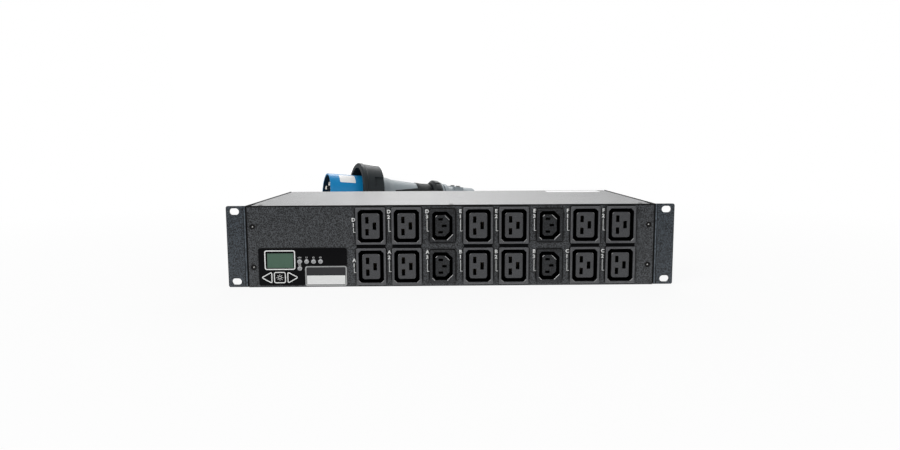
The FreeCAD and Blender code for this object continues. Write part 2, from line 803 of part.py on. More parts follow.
def key_outline(sketch, index, margin):
    """The face of a key: an arrow to the left, a square, or an arrow to the right."""
    start, wide = key_span(index)
    left = f"({start} - {margin})"
    right = f"({start} + {wide} + {margin})"
    low, top = f"(key_low - {margin})", f"(key_low + key_high + {margin})"
    above, below = f"{KEY_LEVEL} + key_blunt", f"{KEY_LEVEL} - key_blunt"
    inward = {"left_key": f"{left} + key_point", "right_key": f"{right} - key_point"}
    shapes = {
        "left_key": [(right, low), (right, top), (inward["left_key"], above), (left, KEY_LEVEL),
                     (inward["left_key"], below)],
        "select_key": [(left, low), (right, low), (right, top), (left, top)],
        "right_key": [(left, low), (inward["right_key"], below), (right, KEY_LEVEL),
                      (inward["right_key"], above), (left, top)],
    }
    outline(sketch, shapes[KEYS[index]])


def on_key_row(edge):
    """True for an upright edge of the keys or of their openings."""
    x, z = edge.CenterOfMass.x, edge.CenterOfMass.z
    reach = value("key_gap") + 1e-6
    on_level = value("key_low") - reach < z < value("key_low + key_high") + reach
    return runs_along(edge, Y_AXIS) and on_level and value("key_left") - reach < x < value("light_left")


def make_overlay():
    """Gloss sheet on the panel with a window, three key openings and holes for the lights."""
    body = new_body("keypad_overlay")
    face = new_sketch(body, "overlay_face", "XZ_Plane", f"-{FRONT}")
    outline(face, [("overlay_left", "overlay_low"), ("overlay_step_x", "overlay_low"),
                   ("overlay_step_x", "overlay_step_z"), ("overlay_right", "overlay_step_z"),
                   ("overlay_right", "overlay_top"), ("overlay_left", "overlay_top")])
    pad(body, "overlay_plate", face, "overlay_thick")
    soften(body, "overlay_corners", "Fillet", lambda edge: runs_along(edge, Y_AXIS), "overlay_corner")
    cuts = new_sketch(body, "overlay_openings", "XZ_Plane", f"-{FRONT} + overlay_thick")
    rectangle(cuts, "window_left", "window_low", "window_wide", "window_high")
    for index in range(len(KEYS)):
        key_outline(cuts, index, "key_gap")
    for x, z in LIGHTS:
        circle(cuts, x, z, "light_radius + light_gap")
    pocket(body, "overlay_cuts", cuts, "overlay_thick")
    soften(body, "opening_corners", "Fillet", on_key_row, "key_corner")
    return body


SWITCH_TOP = f"({FRONT} + board_back - switch_high)"


def make_key(index):
    """Key cap with a stem that presses the switch behind it."""
    name = KEYS[index]
    body = new_body(name)
    face = new_sketch(body, f"{name}_face", "XZ_Plane", f"-{FRONT} + overlay_thick + key_proud")
    key_outline(face, index, "0")
    pad(body, f"{name}_cap", face, "overlay_thick + key_proud + key_foot", back=True)
    soften(body, f"{name}_corners", "Fillet", on_key_row, "key_corner")
    stem = new_sketch(body, f"{name}_stem", "XZ_Plane", f"-{FRONT} - key_foot")
    circle(stem, key_x(index), KEY_LEVEL, "stem_radius")
    length = f"{SWITCH_TOP} - {FRONT} - key_foot - key_travel - stem_clear"
    pad(body, f"{name}_stem_pad", stem, length, back=True)
    return body


BOARD_FACE = f"({FRONT} + board_back)"
BOARD_LEFT = "(overlay_left - board_side)"
TRAY_FLOOR = "tray_sheet"


def make_display_board():
    """Circuit board behind the panel, with a switch under each key."""
    plate = box("display_plate", "board_wide", "board_sheet", "board_high",
                BOARD_LEFT, BOARD_FACE, "board_low")
    low = f"{KEY_LEVEL} - switch_size / 2"
    switches = [box(f"switch_{i}", "switch_size", "switch_high", "switch_size",
                    f"{key_x(i)} - switch_size / 2", SWITCH_TOP, low) for i in range(len(KEYS))]
    return fuse("display_board", plate, *switches)


def make_spacers():
    """Spacers of the display board, behind the front wall, and of the metering board, on the floor."""
    wall = f"({WALL_FRONT} + tray_sheet)"
    left, right = f"{BOARD_LEFT} + spacer_inset", f"{BOARD_LEFT} + board_wide - spacer_inset"
    low, high = "board_low + spacer_inset", "board_low + board_high - spacer_inset"
    standing = ((left, low), (left, high), (right, low), (right, "board_low + spacer_step"))
    spacers = [rod(f"display_spacer_{i}", "spacer_radius", f"{BOARD_FACE} - {wall}", x, wall, z, "y")
               for i, (x, z) in enumerate(standing)]
    front = f"{FRONT} + meter_back"
    lying = [(x, y) for x in ("meter_left + spacer_inset", "meter_left + meter_wide - spacer_inset")
             for y in (f"{front} + spacer_inset", f"{front} + meter_deep - spacer_inset")]
    spacers += [rod(f"meter_spacer_{i}", "spacer_radius", "spacer_high", x, y, TRAY_FLOOR)
                for i, (x, y) in enumerate(lying)]
    return group("board_spacers", spacers)


def make_lights():
    """Five status lights with domed tips, standing on the display board."""
    body = new_body("status_light")
    length = "board_back + overlay_thick + light_proud"
    revolve(body, "light_turning", [("0", "0"), ("light_radius", "0"), ("light_radius", length),
                                    ("0", length)])
    top = value(length)
    soften(body, "light_dome", "Fillet", lambda edge: edge.BoundBox.ZMin > top - 1e-6, "light_radius * 0.6")
    turn = FreeCAD.Rotation(X_AXIS, 90)
    lights = [copy(f"light_{i}", body, x, BOARD_FACE, z, turn) for i, (x, z) in enumerate(LIGHTS)]
    return group("status_lights", lights)


WELL_HIGH = "(2 * rocker_reach + 2 * well_end)"
WELL_WIDE = "(rocker_wide + 2 * rocker_gap)"
TRUNNION_SPAN = f"({WELL_WIDE} + 2 * trunnion_length)"


def make_breaker():
    """Breaker about the middle of its opening: case inside, bezel and two guard ribs outside."""
    body = new_body("breaker_case")
    case = new_sketch(body, "breaker_block", "XZ_Plane")
    centred(case, "0", "0", "breaker_wide", "breaker_high")
    pad(body, "breaker_inside", case, "breaker_deep")
    bezel = new_sketch(body, "breaker_bezel", "XZ_Plane")
    centred(bezel, "0", "0", "breaker_wide + 2 * bezel_lap", "breaker_high + 2 * bezel_lap")
    pad(body, "breaker_rim", bezel, "bezel_thick", back=True)
    mouth = new_sketch(body, "breaker_mouth", "XZ_Plane", "-bezel_thick")
    centred(mouth, "0", "0", WELL_WIDE, WELL_HIGH)
    pocket(body, "breaker_well", mouth, "bezel_thick + well_deep", back=True)
    pivot = new_sketch(body, "breaker_pivot", "YZ_Plane")
    circle(pivot, "-pivot_sunk", "0", "trunnion_radius + pivot_play")
    pocket(body, "breaker_bearing", pivot, f"{TRUNNION_SPAN} + 2 * fit_gap", both=True)
    ribs = new_sketch(body, "breaker_ribs", "XZ_Plane", "-bezel_thick")
    for side in (-1, 1):
        centred(ribs, f"{side} * ({WELL_WIDE} / 2 + guard_gap + guard_wide / 2)", "0", "guard_wide",
                "2 * rocker_reach + 2 * guard_end")
    pad(body, "breaker_guards", ribs, "rear_stand_out - bezel_thick", back=True)
    return body


# Side of the rocker from its upper tip round the back to its lower tip, as (out, up) from the pivot.
ROCKER_BACK = [("1", "rocker_reach - 0.6"), ("-4", "7"), ("-6", "3"), ("-6", "-3"), ("-4", "-7"),
               ("1", "0.6 - rocker_reach")]


def make_rocker():
    """Rocker about its own pivot: hollowed face, rounded back, a trunnion at each side."""
    body = new_body("breaker_rocker")
    side = new_sketch(body, "rocker_side", "YZ_Plane")
    face = [("rocker_tip", "-rocker_reach"), ("rocker_tip - rocker_hollow", "0"),
            ("rocker_tip", "rocker_reach")]
    outline(side, face + ROCKER_BACK)
    pad(body, "rocker_block", side, "rocker_wide", both=True)
    pins = new_sketch(body, "rocker_pins", "YZ_Plane")
    circle(pins, "0", "0", "trunnion_radius")
    pad(body, "rocker_trunnions", pins, TRUNNION_SPAN, both=True)
    return body


def make_network():
    """Network module in the rear wall, with two ports."""
    body = new_body("network_module")
    case = new_sketch(body, "network_block", "XZ_Plane", f"-{REAR}")
    rectangle(case, "network_left", "network_low", "network_wide", "network_high")
    pad(body, "network_inside", case, "network_deep")
    rim = new_sketch(body, "network_rim", "XZ_Plane", f"-{REAR}")
    rectangle(rim, "network_left - bezel_lap", "network_low - bezel_lap", "network_wide + 2 * bezel_lap",
              "network_high + 2 * bezel_lap")
    pad(body, "network_bezel", rim, "bezel_lap", back=True)
    ports = new_sketch(body, "network_ports", "XZ_Plane", f"-{REAR} - bezel_lap")
    for share in (1, 3):
        centred(ports, f"network_left + network_wide * {share} / 4", "network_low + network_high / 2",
                "port_wide", "port_high")
    pocket(body, "network_port_cuts", ports, "port_deep", back=True)
    return body


CORD_RADIUS = "(cord_diameter / 2)"
BORE = f"({CORD_RADIUS} + bore_play)"
GLAND_INSIDE = "(tray_sheet + locknut_thick + gland_tail)"
GLAND_LENGTH = f"({GLAND_INSIDE} + gland_collar + gland_nut_long + fit_gap)"


def gland_rod(name, radius, start, length):
    return rod(name, radius, length, "gland_x", f"{REAR} + {start}", "gland_level", "y")


def gland_hexagon(name, start, length):
    return hexagon(name, "gland_flats", length, "gland_x", f"{REAR} + {start}", "gland_level", "y")


def make_gland():
    """Gland: threaded body through the rear wall, locknut inside, dome nut outside."""
    tube = gland_rod("gland_tube", "gland_thread", f"-{GLAND_INSIDE}",
                     f"{GLAND_INSIDE} + gland_collar + gland_lead")
    blank = fuse("gland_blank", gland_hexagon("gland_hexagon", "0", "gland_collar"), tube)
    gland = cut("cable_gland", blank, gland_rod("gland_bore", BORE, f"-{GLAND_INSIDE}", GLAND_LENGTH))
    ring = gland_hexagon("locknut_hexagon", "(-tray_sheet - locknut_thick)", "locknut_thick")
    thread = gland_rod("locknut_bore", "gland_thread + fit_gap", f"-{GLAND_INSIDE}", GLAND_INSIDE)
    locknut = cut("gland_locknut", ring, thread)
    start = "(gland_collar + fit_gap)"
    dome = doc.addObject("Part::Cone", "nut_dome")
    dome.Placement = FreeCAD.Placement(Vector(), TURNS["y"])
    bind(dome, Radius1="gland_flats / 2 - fit_gap", Radius2=f"{CORD_RADIUS} + gland_lip",
         Height="gland_nut_long / 2")
    place(dome, "gland_x", f"{REAR} + {start} + gland_nut_long / 2", "gland_level")
    cap = fuse("nut_blank", gland_hexagon("nut_hexagon", start, "gland_nut_long / 2"), dome)
    deep = "gland_collar + gland_lead + 2 * fit_gap"
    nut = cut("gland_nut", cap, gland_rod("nut_thread", "gland_thread + fit_gap", "0", deep),
              gland_rod("nut_bore", BORE, "0", GLAND_LENGTH))
    return gland, locknut, nut


WAYS = range(3)


def make_terminals():
    """Supply terminal block with three wire ways, on the floor beside the gland."""
    left = "(gland_x - terminal_wide / 2)"
    front = f"({REAR} - terminal_back - terminal_deep)"
    block = box("terminal_blank", "terminal_wide", "terminal_deep", "terminal_high",
                left, front, TRAY_FLOOR)
    spots = [f"{left} + terminal_wide * {2 * i + 1} / 6" for i in WAYS]
    ways = [rod(f"terminal_way_{i}", "way_radius", "terminal_deep", spots[i], front,
                f"{TRAY_FLOOR} + way_level", "y") for i in WAYS]
    screws = [rod(f"terminal_screw_{i}", "way_screw", "terminal_high - way_screw_level", spots[i],
                  f"{front} + terminal_deep / 2", f"{TRAY_FLOOR} + way_screw_level") for i in WAYS]
    return cut("terminal_block", block, *ways, *screws)


def make_bars():
    """Line, neutral and earth bars, dropped into slots of two insulating supports."""
    front = f"{FRONT} + bar_back"
    bars = [box(f"bar_{i}", "bar_long", "bar_thick", "bar_high", "bar_left", f"{front} + {i} * bar_pitch",
                "bar_level") for i in WAYS]
    supports = []
    ends = ("bar_left + support_inset", "bar_left + bar_long - support_inset - support_wide")
    for end, x in enumerate(ends):
        block = box(f"support_blank_{end}", "support_wide", "2 * bar_pitch + 2 * support_margin",
                    "support_high - tray_sheet", x, f"{front} - support_margin", TRAY_FLOOR)
        slots = [box(f"support_slot_{end}_{i}", "support_wide", "bar_thick + 2 * fit_gap", "support_high",
                     x, f"{front} + {i} * bar_pitch - fit_gap", "bar_level") for i in WAYS]
        supports.append(cut(f"bar_support_{end}", block, *slots))
    return group("busbars", bars), group("busbar_supports", supports)


def make_meter():
    """Metering board on its spacers, with a current sensor for each branch."""
    front = f"{FRONT} + meter_back"
    level = f"{TRAY_FLOOR} + spacer_high"
    board = box("metering_board", "meter_wide", "meter_deep", "board_sheet", "meter_left", front, level)
    top = f"({level} + board_sheet)"
    run = "(meter_wide - 2 * sensor_inset - sensor_size)"
    sensors = []
    for i in range(len(BREAKERS)):
        x = f"(meter_left + sensor_inset + {i} * {run} / {len(BREAKERS) - 1})"
        block = box(f"sensor_blank_{i}", "sensor_size", "sensor_thick", "sensor_size", x,
                    f"{front} + sensor_back", top)
        hole = rod(f"sensor_hole_{i}", "sensor_bore", "sensor_thick", f"{x} + sensor_size / 2",
                   f"{front} + sensor_back", f"{top} + sensor_size / 2", "y")
        sensors.append(cut(f"sensor_{i}", block, hole))
    return board, group("current_sensors", sensors)


YAW = math.radians(value("plug_yaw"))
DIP = math.radians(value("plug_dip"))
PLUG_AXIS = Vector(math.cos(DIP) * math.cos(YAW), math.cos(DIP) * math.sin(YAW), -math.sin(DIP))
PLUG_UP = Vector(math.sin(DIP) * math.cos(YAW), math.sin(DIP) * math.sin(YAW), math.cos(DIP))
PLUG_TURN = FreeCAD.Rotation(PLUG_UP, PLUG_AXIS.cross(PLUG_UP), PLUG_AXIS, "ZXY")
PLUG_ROLL = FreeCAD.Rotation(Z_AXIS, value("plug_roll"))


def new_plug_body(name, rolled=False):
    """A body in the plug's own frame: Z along the plug from its mouth, X upwards unless it is rolled."""
    body = new_body(name)
    turn = PLUG_TURN.multiply(PLUG_ROLL) if rolled else PLUG_TURN
    body.Placement = FreeCAD.Placement(Vector(), turn)
    return place(body, "plug_tip_x", f"{FRONT} + plug_tip_back", "plug_tip_z")


def polar(body, name, feature, count):
    pattern = body.newObject("PartDesign::PolarPattern", name)
    pattern.Originals = [feature]
    pattern.Axis = (feature.Profile[0], ["N_Axis"])
    pattern.Angle = 360
    pattern.Occurrences = count
    body.Tip = pattern
    doc.recompute()
    return pattern


def make_collar():
    """Blue collar: an open tube round the pins, closed by their carrier, with a key by the earth pin."""
    body = new_plug_body("plug_collar", rolled=True)
    inner = "(collar_radius - collar_wall)"
    outside = [(inner, "0"), ("collar_radius", "0"), ("collar_radius", "collar_length")]
    revolve(body, "collar_turning", outside + [("0", "collar_length"), ("0", "collar_floor"),
                                               (inner, "collar_floor")])
    rib = new_sketch(body, "collar_rib", "XY_Plane")
    rectangle(rib, "-collar_radius - collar_key_high", "-collar_key / 2",
              "collar_wall / 2 + collar_key_high", "collar_key")
    pad(body, "collar_key_rib", rib, "ring_start - collar_key_end")
    return body


PIN_ANGLES = (180, 270, 0, 90)


def make_pins():
    """A thick earth pin, three live pins at right angles to it, and a short pilot pin in the middle."""
    layout = []
    for i, angle in enumerate(PIN_ANGLES):
        x, y = (f"pin_circle * {turn(math.radians(angle)):.6f}" for turn in (math.cos, math.sin))
        layout.append((x, y, "pin_radius" if i else "earth_radius", "pin_length"))
    layout.append(("0", "0", "pilot_radius", "pilot_length"))
    floor = value("collar_floor")
    pins = []
    for i, (x, y, radius, length) in enumerate(layout):
        body = new_plug_body(f"plug_pin_{i}", rolled=True)
        foot = new_sketch(body, f"pin_foot_{i}", "XY_Plane", "collar_floor")
        circle(foot, x, y, radius)
        pad(body, f"pin_shaft_{i}", foot, length, back=True)
        inverse = body.Placement.inverse()
        soften(body, f"pin_tip_{i}", "Fillet",
               lambda edge: edge.Curve.TypeId == "Part::GeomCircle"
               and inverse.multVec(edge.CenterOfMass).z < floor - 1, f"{radius} * 0.5")
        pins.append(body)
    return group("plug_pins", pins)


RING_END = "(ring_start + ring_length)"
NOTCHES = 6
FLUTES = 12


def make_ring():
    """Locking ring: a wide tapered sleeve on a web that turns on the collar, with finger notches."""
    body = new_plug_body("plug_ring")
    hub = "(collar_radius + ring_play)"
    bead_end = "(ring_start + ring_bead)"
    revolve(body, "ring_turning", [("ring_inner", "ring_start"), ("ring_radius - ring_edge", "ring_start"),
                                   ("ring_radius", "ring_start + ring_edge"), ("ring_radius", bead_end),
                                   ("ring_radius - ring_edge", f"{bead_end} + ring_edge"),
                                   ("ring_rear_radius", f"{RING_END} - ring_edge"),
                                   ("ring_rear_radius - ring_edge", RING_END),
                                   (hub, RING_END), (hub, f"{RING_END} - ring_web"),
                                   ("ring_inner", f"{RING_END} - ring_web")])
    notch = new_sketch(body, "ring_notch", "XY_Plane", RING_END)
    rectangle(notch, "ring_rear_radius - notch_deep", "-notch_wide / 2",
              "2 * notch_deep + ring_radius - ring_rear_radius", "notch_wide")
    first = pocket(body, "ring_notch_cut", notch, "notch_long")
    polar(body, "ring_notches", first, NOTCHES)
    return body


# Outside of the housing behind the ring, as (radius, distance from the mouth).
HOUSING_SIDE = [("body_radius + body_lip", "collar_length"), ("body_radius", "collar_length + 5"),
                ("body_radius - 1", "collar_length + 11"), ("body_radius - 3.5", "collar_length + 20"),
                ("body_waist + 0.5", "body_end - 24"), ("body_waist", "body_end - 20"),
                ("body_waist", "body_end")]


def make_plug_body():
    """Grey housing behind the ring, waisted towards the cord."""
    body = new_plug_body("plug_body")
    socket = "(collar_radius + fit_gap)"
    start = f"({RING_END} + ring_play)"
    inside = [(BORE, "body_end"), (BORE, "collar_length + fit_gap"), (socket, "collar_length + fit_gap")]
    mouth = [(socket, start), ("body_radius + body_lip", start)]
    revolve(body, "body_turning", mouth + HOUSING_SIDE + inside)
    return body


def make_plug_nut():
    """Dark fluted nut that closes the housing on the cord."""
    body = new_plug_body("plug_gland_nut")
    start = "(body_end + fit_gap)"
    revolve(body, "plug_nut_turning", [(BORE, start), ("nut_radius - nut_edge", start),
                                       ("nut_radius", f"{start} + nut_edge"),
                                       ("nut_radius", "nut_end - nut_edge"),
                                       ("nut_radius - nut_edge / 2", "nut_end"), (BORE, "nut_end")])
    flute = new_sketch(body, "nut_flute", "XY_Plane", start)
    circle(flute, "nut_radius + flute_out", "0", "flute_radius")
    first = pocket(body, "nut_flute_cut", flute, "nut_end - body_end", back=True)
    polar(body, "nut_flutes", first, FLUTES)
    return body


LUG_TOP = "(clamp_radius + lug_rise)"
LUG_MIDDLE = "(lug_start + lug_long / 2)"


def make_clamp():
    """Cord clamp behind the nut: a flange, a necked shoulder and a sleeve with two screw lugs."""
    body = new_plug_body("plug_clamp")
    start = "(nut_end + fit_gap)"
    neck = f"({start} + clamp_flange_thick)"
    shoulder = f"({neck} + clamp_neck_long)"
    slope = f"({shoulder} + clamp_shoulder_long)"
    revolve(body, "clamp_turning", [(BORE, start), ("clamp_flange", start), ("clamp_flange", neck),
                                    ("clamp_neck", neck), ("clamp_neck", shoulder),
                                    ("clamp_shoulder", shoulder),
                                    ("clamp_shoulder", f"{slope} - clamp_edge"), ("clamp_radius", slope),
                                    ("clamp_radius", "clamp_end - clamp_edge"),
                                    ("clamp_radius - clamp_edge", "clamp_end"), (BORE, "clamp_end")])
    lug = new_sketch(body, "clamp_lug", "XY_Plane", "lug_start")
    for side in (-1, 1):
        rectangle(lug, "-lug_foot", f"{side} * lug_out - lug_wide / 2", f"lug_foot + {LUG_TOP}", "lug_wide")
    pad(body, "clamp_lugs", lug, "lug_long")
    bore = new_sketch(body, "clamp_way", "XY_Plane", "lug_start")
    circle(bore, "0", "0", BORE)
    pocket(body, "clamp_way_cut", bore, "lug_long", back=True)
    holes = new_sketch(body, "clamp_holes", "YZ_Plane")
    for side in (-1, 1):
        circle(holes, f"{side} * lug_out", LUG_MIDDLE, "clamp_screw_core + contact_gap")
    pocket(body, "clamp_hole_cuts", holes, "4 * clamp_radius", both=True)
    return body


def make_clamp_screws():
    """Two screws down into the lugs of the clamp."""
    screws = []
    for i, side in enumerate((-1, 1)):
        body = new_plug_body(f"clamp_screw_{i}")
        shank = new_sketch(body, f"clamp_shank_{i}", "YZ_Plane", LUG_TOP)
        circle(shank, f"{side} * lug_out", LUG_MIDDLE, "clamp_screw_core")
        pad(body, f"clamp_shank_pad_{i}", shank, "clamp_screw_long", back=True)
        head = new_sketch(body, f"clamp_head_{i}", "YZ_Plane", LUG_TOP)
        circle(head, f"{side} * lug_out", LUG_MIDDLE, "clamp_screw_head")
        pad(body, f"clamp_head_pad_{i}", head, "clamp_head_high")
        screws.append(body)
    return group("plug_clamp_screws", screws)


# The cord's route, as (x, distance behind the panel face, height). The lead comes out of the gland
# and goes down to the coil; the tail swings out from the coil and back into the plug's clamp.
LEAD_ROUTE = [(170, 214, 36), (170, 264, 36), (170, 314, 33.5)]
TAIL_ROUTE = [(122, 250, 12), (175, 297, 11.5), (205, 362, 11.5), (211, 418, 11.5), (244, 512, 12),
              (244, 577, 13.5), (215, 631.5, 18), (164, 666, 25), (103, 672.9, 32.87), (37, 646.7, 39.5)]
BEND_SHARE = 0.45


def route_points(route):
    front = value(FRONT)
    return [Vector(x, front + back, z) for x, back, z in route]


def make_cord(name, route):
    """A tube along straight runs joined by tangent arcs, each as wide as its runs allow."""
    points = route_points(route)
    edges = []
    radii = []
    here = points[0]
    for before, corner, after in zip(points, points[1:], points[2:]):
        towards, away = corner.sub(before), after.sub(corner)
        reach = BEND_SHARE * min(towards.Length, away.Length)
        turn = towards.getAngle(away)
        radii.append(reach / math.tan(turn / 2))
        start = corner.sub(towards.normalize() * reach)
        end = corner.add(away.normalize() * reach)
        chord = start.add(end) * 0.5
        inward = chord.sub(corner)
        middle = corner.add(inward.normalize() * (radii[-1] / math.cos(turn / 2) - radii[-1]))
        edges += [Part.LineSegment(here, start).toShape(), Part.Arc(start, middle, end).toShape()]
        here = end
    edges.append(Part.LineSegment(here, points[-1]).toShape())
    path = Part.Wire(edges)
    radius = value(CORD_RADIUS)
    section = Part.Wire(Part.makeCircle(radius, points[0], points[1].sub(points[0])))
    tube = doc.addObject("Part::Feature", name)
    tube.Shape = path.makePipeShell([section], True, False)
    share = tube.Shape.Volume / (math.pi * radius * radius * path.Length)
    print(name, "length", round(path.Length, 1), "bend radii", [round(r) for r in radii])
    print(name, "volume share", round(share, 4))
    return tube


COIL_Y = f"({FRONT} + coil_back)"
TIE_ANGLES = (70, 160)


def make_coil():
    """Outer shape of the wound cord: a flat ring that lies on its ties."""
    rim = rod("coil_rim", "coil_outer", "coil_high - tie_thick", "coil_x", COIL_Y, "tie_thick")
    eye = rod("coil_eye", "coil_inner", "coil_high", "coil_x", COIL_Y, "0")
    return cut("cord_coil", rim, eye)


def make_ties():
    """Straps round the coil's turns."""
    wide = "(coil_outer - coil_inner + 2 * tie_play)"
    middle = "(coil_outer + coil_inner) / 2"
    inside = "coil_high - tie_thick + tie_play"
    ties = []
    for i, angle in enumerate(TIE_ANGLES):
        outer = box(f"tie_outer_{i}", f"{wide} + 2 * tie_thick", "tie_wide", f"{inside} + 2 * tie_thick",
                    f"-{wide} / 2 - tie_thick", "-tie_wide / 2", "0")
        hole = box(f"tie_hole_{i}", wide, "tie_wide", inside, f"-{wide} / 2", "-tie_wide / 2", "tie_thick")
        strap = cut(f"tie_{i}", outer, hole)
        turn = math.radians(angle)
        x = f"coil_x + {math.cos(turn):.6f} * {middle}"
        y = f"{COIL_Y} + {math.sin(turn):.6f} * {middle}"
        ties.append(copy(f"coil_tie_{i}", strap, x, y, "0", FreeCAD.Rotation(Z_AXIS, angle)))
    return group("coil_ties", ties)


def make_outlets():
    """The outlets, each under its own name, and the contacts behind their slots."""
    outlets = {False: make_outlet("large_outlet", False), True: make_outlet("small_outlet", True)}
    contacts = {False: make_contact("large"), True: make_contact("small")}
    pieces = {}
    sockets = []
    for name, small, x, z in outlet_places():
        pieces[f"outlet_{name}"] = copy(f"outlet_{name}", outlets[small], x, FRONT, z)
        for i, (dx, dz) in enumerate(pin_places("small" if small else "large")):
            sockets.append(copy(f"contact_{name}_{i}", contacts[small], f"{x} + {dx}",
                                f"{FRONT} + contact_start", f"{z} + {dz}"))
    pieces["outlet_contacts"] = group("outlet_contacts", sockets)
    return pieces


def make_screen():
    """Display module, from just behind the overlay's face back to its board."""
    return box("lcd_module", "window_wide - 2 * fit_gap", "board_back + overlay_thick - screen_sunk",
               "window_high - 2 * fit_gap", "window_left + fit_gap",
               f"{FRONT} - overlay_thick + screen_sunk", "window_low + fit_gap")


def make_breakers():
    """The breakers in the rear wall and their rockers, which rest tilted to one side."""
    breaker, rocker = make_breaker(), make_rocker()
    cases = [copy(f"breaker_case_{letter}", breaker, breaker_x(i), REAR, "breaker_level")
             for i, letter in enumerate(BREAKERS)]
    pieces = {"breaker_cases": group("breaker_cases", cases)}
    tilt = FreeCAD.Rotation(X_AXIS, value("rocker_tilt"))
    for i, letter in enumerate(BREAKERS):
        pieces[f"rocker_{letter}"] = copy(f"rocker_{letter}", rocker, breaker_x(i), f"{REAR} - pivot_sunk",
                                          "breaker_level", tilt)
    return pieces


def make_pieces():
    """Every piece of the unit, under the name that its file gets."""
    pieces = {"chassis_tray": make_tray(), "top_cover": make_cover(), "front_panel": make_panel(),
              "rack_ear_left": make_ear("rack_ear_left", -1),
              "rack_ear_right": make_ear("rack_ear_right", 1)}
    pieces["front_panel_screws"], pieces["cover_screws"], pieces["ear_screws"] = make_screws()
    pieces.update(make_outlets())
    pieces["keypad_overlay"] = make_overlay()
    pieces["lcd_module"] = make_screen()
    pieces["display_board"] = make_display_board()
    pieces["board_spacers"] = make_spacers()
    pieces["status_lights"] = make_lights()
    for index, key in enumerate(KEYS):
        pieces[key] = make_key(index)
    pieces.update(make_breakers())
    pieces["network_module"] = make_network()
    pieces["cable_gland"], pieces["gland_locknut"], pieces["gland_nut"] = make_gland()
    pieces["terminal_block"] = make_terminals()
    pieces["busbars"], pieces["busbar_supports"] = make_bars()
    pieces["metering_board"], pieces["current_sensors"] = make_meter()
    pieces["cord_lead"] = make_cord("cord_lead", LEAD_ROUTE)
    pieces["cord_coil"] = make_coil()
    pieces["cord_tail"] = make_cord("cord_tail", TAIL_ROUTE)
    pieces["coil_ties"] = make_ties()
    pieces["plug_collar"] = make_collar()
    pieces["plug_pins"] = make_pins()
    pieces["plug_ring"] = make_ring()
    pieces["plug_body"] = make_plug_body()
    pieces["plug_gland_nut"] = make_plug_nut()
    pieces["plug_clamp"] = make_clamp()
    pieces["plug_clamp_screws"] = make_clamp_screws()
    return pieces


pieces = make_pieces()
for name, piece in pieces.items():
    piece.Label = name
doc.recompute()

faults = [item.Name for item in doc.Objects if "Invalid" in item.State or "Error" in item.State]
shapes = {name: Part.getShape(piece) for name, piece in pieces.items()}
faults += [name for name, shape in shapes.items()
           if shape.isNull() or not shape.isValid() or not shape.Solids]
if faults:
    raise RuntimeError(f"faulty pieces: {faults}")

os.makedirs("parts", exist_ok=True)
for name, shape in shapes.items():
    shape.exportStep(f"parts/{name}.step")
print(len(shapes), "pieces written")
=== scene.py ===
# %% [markdown]
# # A rack power unit, dressed in Blender
# The solid model of a two-unit rack power distribution unit arrives as a fixed frame: a folded steel case,
# two rows of outlets, a small display and a thick supply cord with an industrial plug. Nothing in that frame
# is moved. This lesson adds what the solids lack: paint, moulded plastic, printed marks, metal and a real cord.

# %% Load the frame
import math

import bmesh
import bpy
from mathutils import Matrix, Vector


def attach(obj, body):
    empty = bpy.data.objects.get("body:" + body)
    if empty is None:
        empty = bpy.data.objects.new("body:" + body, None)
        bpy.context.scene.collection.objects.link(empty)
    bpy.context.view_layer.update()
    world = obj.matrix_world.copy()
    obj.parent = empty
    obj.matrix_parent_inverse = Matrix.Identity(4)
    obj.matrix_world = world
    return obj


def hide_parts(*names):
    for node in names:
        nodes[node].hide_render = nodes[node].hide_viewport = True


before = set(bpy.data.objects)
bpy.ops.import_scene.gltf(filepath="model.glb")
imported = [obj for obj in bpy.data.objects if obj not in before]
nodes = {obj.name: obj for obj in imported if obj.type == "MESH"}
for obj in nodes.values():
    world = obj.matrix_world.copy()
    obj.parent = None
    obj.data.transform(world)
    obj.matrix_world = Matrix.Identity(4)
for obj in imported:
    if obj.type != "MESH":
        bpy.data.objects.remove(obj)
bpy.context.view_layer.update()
ROOT = "unit"
MM = 0.001
scene = bpy.context.scene
print(len(nodes), "solids in the frame")

# %% [markdown]
# ## The camera
# The picture was taken from just above the unit, a little left of its middle, with a wide lens close by. The
# camera's place was solved from the rack slots, whose spacing is a standard. A matrix sets it in one go: its
# columns are the camera's right, its up and the way back from the picture, and the last one is its place.

# %% Camera
CAMERA_PLACE = (-12.713 * MM, -829.40 * MM, 152.40 * MM)
PITCH, ROLL, TURN = -0.11845, 0.00442, -0.01565
LENS_MM, SENSOR_MM = 26.785, 36.0
NEAREST = 0.02

lens = bpy.data.cameras.new("studio_camera")
lens.lens = LENS_MM
lens.sensor_width = SENSOR_MM
lens.clip_start = NEAREST
camera = bpy.data.objects.new("studio_camera", lens)
scene.collection.objects.link(camera)
look = Matrix.Rotation(TURN, 4, "Z") @ Matrix.Rotation(PITCH, 4, "X") @ Matrix.Rotation(ROLL, 4, "Y")
camera.matrix_world = Matrix.Translation(CAMERA_PLACE) @ look @ Matrix.Rotation(math.pi / 2, 4, "X")
scene.camera = camera
print("camera", [round(value, 3) for value in camera.location], "lens", round(lens.lens, 2), "mm")

# %% [markdown]
# ## The supply cord
# The real cord is as thick as a thumb and about three metres long. It leaves the gland at the rear, is put
# away in a tied coil behind the case, and ends in the plug. One NURBS curve carries the whole length: the
# spline runs smoothly past its control points, so a turn needs only a point every twenty degrees. Its order is
# set after the points exist, because a spline without points can't take it.

# %% Cord route
CORD_DIAMETER = 22.0 * MM
COIL_MIDDLE = (40.0, 279.25)
COIL_STEP = 20
CORD_ROUNDS, CORD_FINENESS = 6, 6
